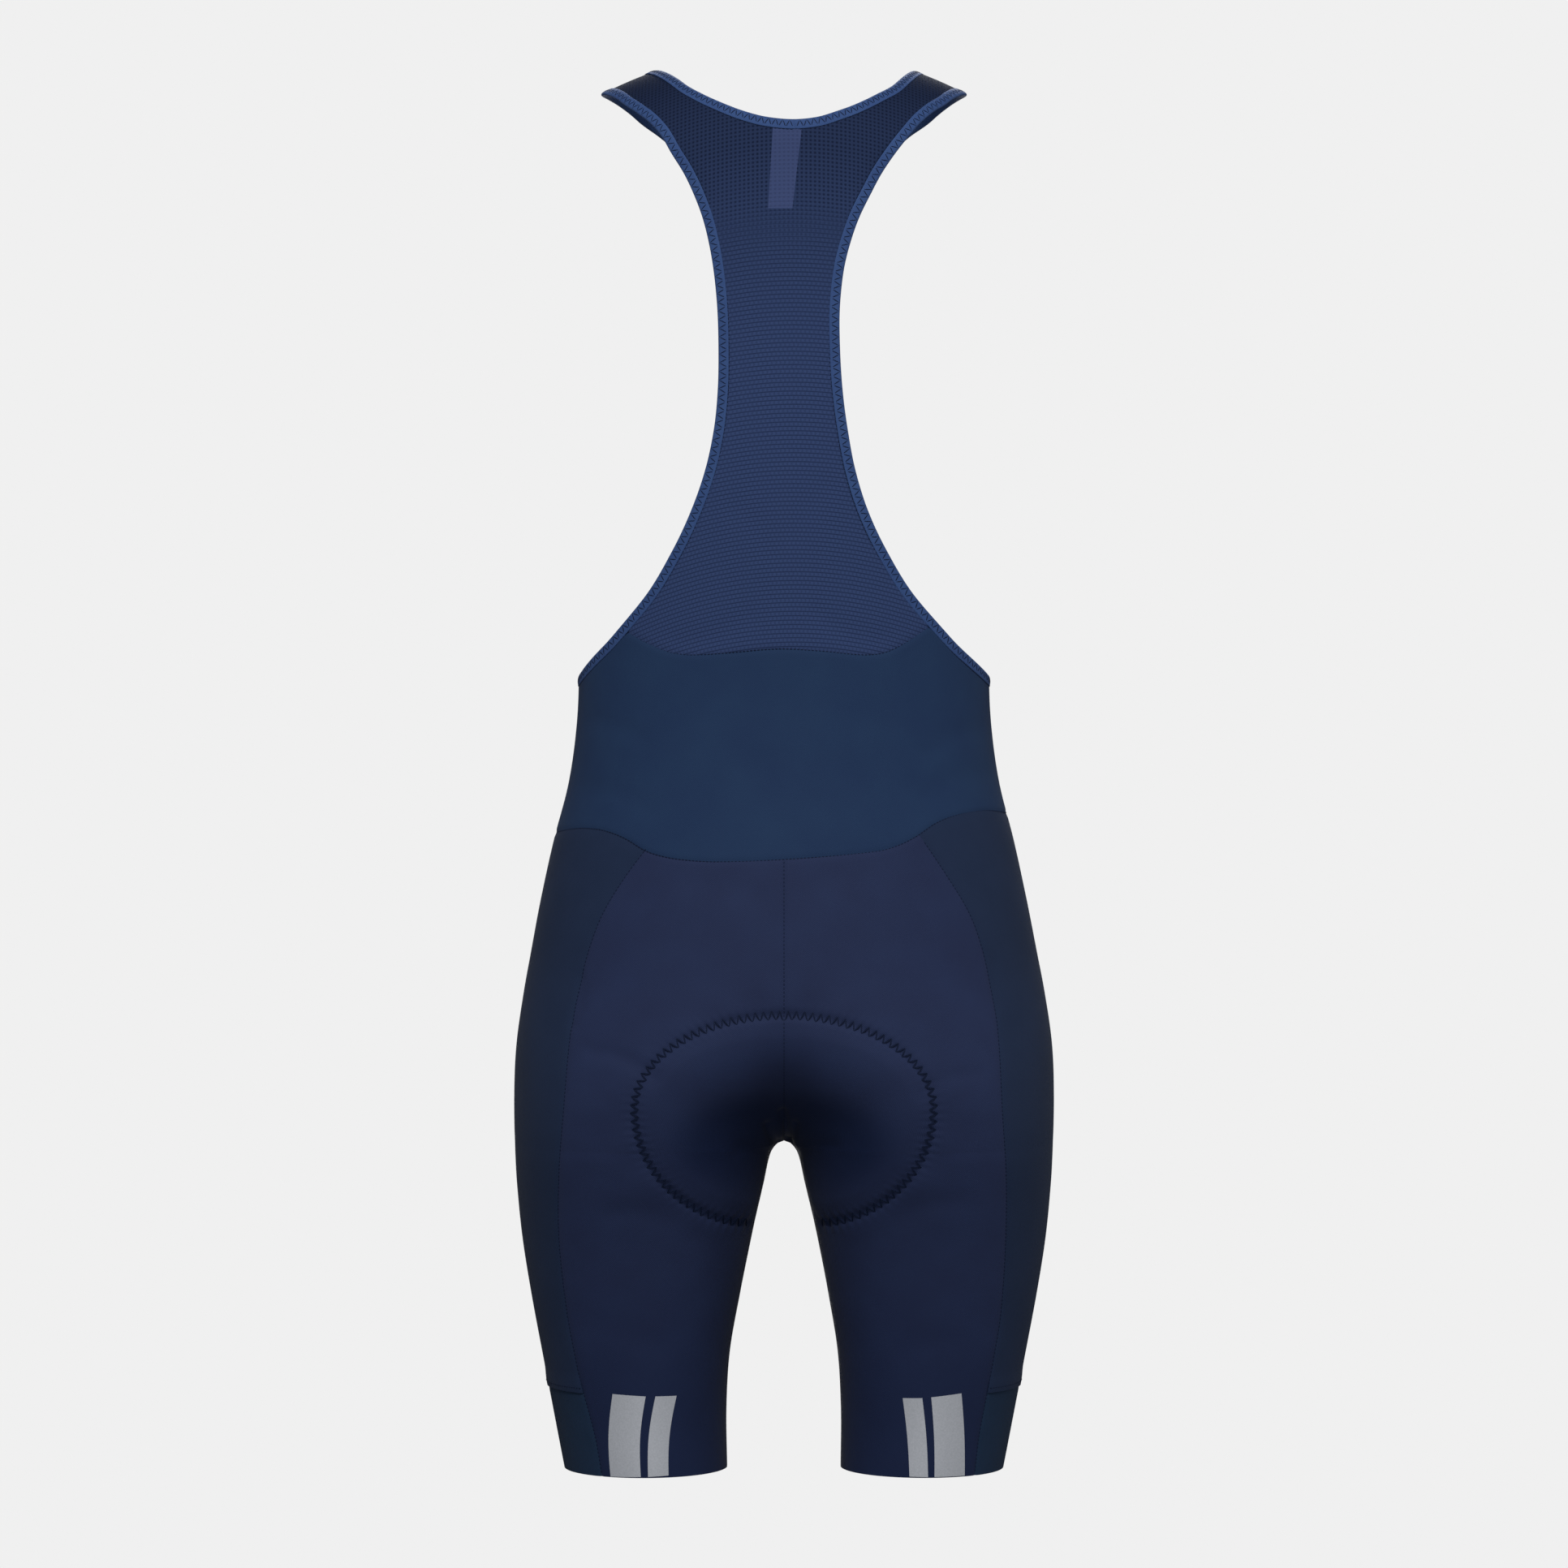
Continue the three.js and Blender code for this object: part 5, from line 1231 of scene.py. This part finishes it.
# Neck label: a plain woven satin tape, cut to length with straight edges. It is sewn in under the
# neck binding and hangs inside the mesh, which it shows through.
LABEL_DEPTH = 2.0
LABEL_THICKNESS = 0.5
satin = knit_material("Plain_Satin_Tape", ("#4a567c", "#556290"), 0.5, 0.03, 0.8, 0.8, 0.05)
down, across = np.meshgrid(np.linspace(0, 1, 30), np.linspace(0, 1, 12), indexing="ij")
x_left, x_right = (start + (stop - start) * down for start, stop in LABEL_EDGES.values())
label_x = x_left + (x_right - x_left) * across
label_z = LABEL_TOP - LABEL_LENGTH * down
place = torso_place(label_x, label_z, 1)
points, normals = torso_point(*place), torso_slopes(*place)[2]
label = add_wall("Neck_Label", *wall_layers(points, normals, -LABEL_DEPTH, LABEL_THICKNESS),
                 np.stack([label_x, label_z], -1), satin)
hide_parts("neck_label")

# Pad sewing: a wide zigzag of dark polyester thread through the cloth and the pad's edge, along
# the pad's outline on the seat and on the front, as far as the inner leg.
PAD_STITCH_WIDTH = 6.4
PAD_THREAD = 0.75
PAD_STITCH_LIFT = 0.3


def cloth_face(z, share, side, rise=0):
    """Points of the cloth's face on one side of the lower body, lifted by rise, and the normals."""
    points, normals = mirrored(ring_point(z, share), side), mirrored(ring_normal(z, share), side)
    return points + normals * (lower_height(points) + rise)[..., None], normals


for shape, face, name in ((PAD_BACK, 1, "Back"), (PAD_FRONT, -1, "Front")):
    for side in ("left", "right"):
        far = outline_length(shape)
        inner_x = ring_point(PAD_WIDEST_Z - PAD_BELOW * INNER_LEG_REACH, 0)[0]
        low = np.interp(-np.arccos((inner_x + 1) / shape["half_width"]), outline_angles, far)
        count = int((far[-1] - low) / (PAD_STITCH_PITCH / 2))
        spots = far[-1] - np.arange(count) * PAD_STITCH_PITCH / 2
        turn = np.interp(spots, far, outline_angles)
        x, z = pad_outline(shape, turn)
        out_x, out_z = unit(np.stack([np.cos(turn) / shape["half_width"], np.sin(turn) / PAD_BELOW], -1)).T
        swing = PAD_STITCH_WIDTH / 2 * np.where(np.arange(count) % 2, 1, -1)
        x, z = np.maximum(x + out_x * swing, 0.5), z + out_z * swing
        corners, normals = cloth_face(z, share_at(z, x, face), side)
        add_stitches(f"Pad_Zigzag_{name}_{side.title()}", corners[:-1], corners[1:],
                     unit(normals[:-1] + normals[1:]), PAD_THREAD, PAD_STITCH_LIFT, "seat_knit")

# Seams: the panels are joined flat, with dark polyester thread that lies sunk in the joins. A
# second row runs above each gripper, where the side panel's edge is sewn down.
GRIPPER_THREAD = 0.5
WAIST_SEAM_REACH = 96
HIP_SEAM_REACH = 153.6


def level_surface(x, z, face):
    """Points and normals of the waist's form at an x and height."""
    angle = np.arcsin(np.clip(x / form["half_width"](z), -1, 1))
    return level_point(angle, z, face), level_normal(angle, z, face)


x = np.linspace(-WAIST_SEAM_REACH, WAIST_SEAM_REACH, 200)
seam_stitches("Waist_Seam_Stitch_Back", *level_surface(x, waist_seam(x), 1), "yoke_knit",
              pitch=2.4, length=1.7, sink=SEAM_DIP - 0.1)
both_faces = ((1, "Back", back_hip_seam, centre_back), (-1, "Front", front_hip_seam, centre_front))
for face, name, seam, middle in both_faces:
    x = np.sin(np.linspace(-1, 1, 300) * np.pi / 2) * HIP_SEAM_REACH
    seam_stitches(f"Hip_Seam_Stitch_{name}", *level_surface(x, seam(x), face), "yoke_knit",
                  pitch=2.4, length=1.9, sink=SEAM_DIP - 0.05)
    z = np.linspace(HIP_Z, HEM_Z + 1, 240)
    for side in ("left", "right"):
        share = seam_share(side, face)(z)
        seam_stitches(f"Side_Seam_Stitch_{name}_{side.title()}", *cloth_face(z, share, side), "side_knit",
                      pitch=2.6, length=1.9, sink=SEAM_DIP - 0.1)
    z = np.linspace(seam(0) - 1, CROTCH_Z + 2, 260)
    points, normals = cloth_face(z, middle(z), "left")
    points[:, 0], normals[:, 0] = 0, 0
    seam_stitches(f"Centre_Seam_Stitch_{name}", points, normals, "seat_knit",
                  pitch=2.6, length=1.7, sink=SEAM_DIP - 0.15)

for side in ("left", "right"):
    ends = [seam_share(side, face)(np.array(GRIPPER_Z)) + 0.002 * face for face in (1, -1)]
    share = np.linspace(*ends, 90)
    for row, z, rise in (("Lower", GRIPPER_Z, 0.35 - SEAM_DIP), ("Upper", GRIPPER_Z + 3.2, HEM_FLARE)):
        seam_stitches(f"Gripper_Stitch_{row}_{side.title()}", *cloth_face(z, share, side, rise),
                      "gripper_knit", pitch=2.4, length=1.6, sink=0, thick=GRIPPER_THREAD)

# Reflective strips: two bars of matt grey reflective film bonded to the back of each leg, from
# above the hem down to it. Corners are upper left, upper right, lower right and lower left.
STRIPS = {
    "Left_Wide": ("left", (114, -887.5), (91.9, -888.9), (95.3, -943.2), (115.5, -943.6)),
    "Left_Narrow": ("left", (85.5, -889), (71.6, -889.2), (77, -942.6), (90.5, -943.2)),
    "Right_Narrow": ("right", (-79, -890.4), (-91.9, -890), (-95.9, -943.4), (-83.5, -943.2)),
    "Right_Wide": ("right", (-97.8, -889.4), (-117.9, -887.1), (-120.5, -943.4), (-100.2, -943.4)),
}
STRIP_BOW = {"left": 2.0, "right": -0.8}
STRIP_HEIGHT = 0.16
STRIP_THICKNESS = 0.26
film, film_tree, film_shader = new_material("Matt_Reflective_Film")
film_place = add_node(film_tree, "TexCoord").outputs["Object"]
beads = add_node(film_tree, "TexNoise", {"Vector": film_place, "Scale": 900.0, "Detail": 3.0})
film_tone = add_node(film_tree, "Mix", {0: beads, 6: linear("#94989e"), 7: linear("#afb2ba")},
                     data_type="RGBA").outputs[2]
film_bump = add_node(film_tree, "Bump", {"Height": beads, "Strength": 0.3, "Distance": 0.00008})
set_inputs(film_tree, film_shader, {
    "Base Color": film_tone, "Normal": film_bump, "Roughness": 0.5, "Metallic": 0.15,
})
down, across = np.meshgrid(np.linspace(0, 1, 44), np.linspace(0, 1, 18), indexing="ij")
corner_shares = ((1 - across) * (1 - down), across * (1 - down), across * down, (1 - across) * down)
for name, (side, *corners) in STRIPS.items():
    x, z = (sum(share * corner[k] for share, corner in zip(corner_shares, corners)) for k in (0, 1))
    x += STRIP_BOW[side] * np.sin(np.pi * down)
    level = np.maximum(z, HEM_Z + 0.2)
    points, normals = cloth_face(level, share_at(level, np.abs(x), 1), side)
    strip = add_wall(f"Reflective_Strip_{name}", *wall_layers(points, normals, STRIP_HEIGHT, STRIP_THICKNESS),
                     np.stack([x, z], -1), film)
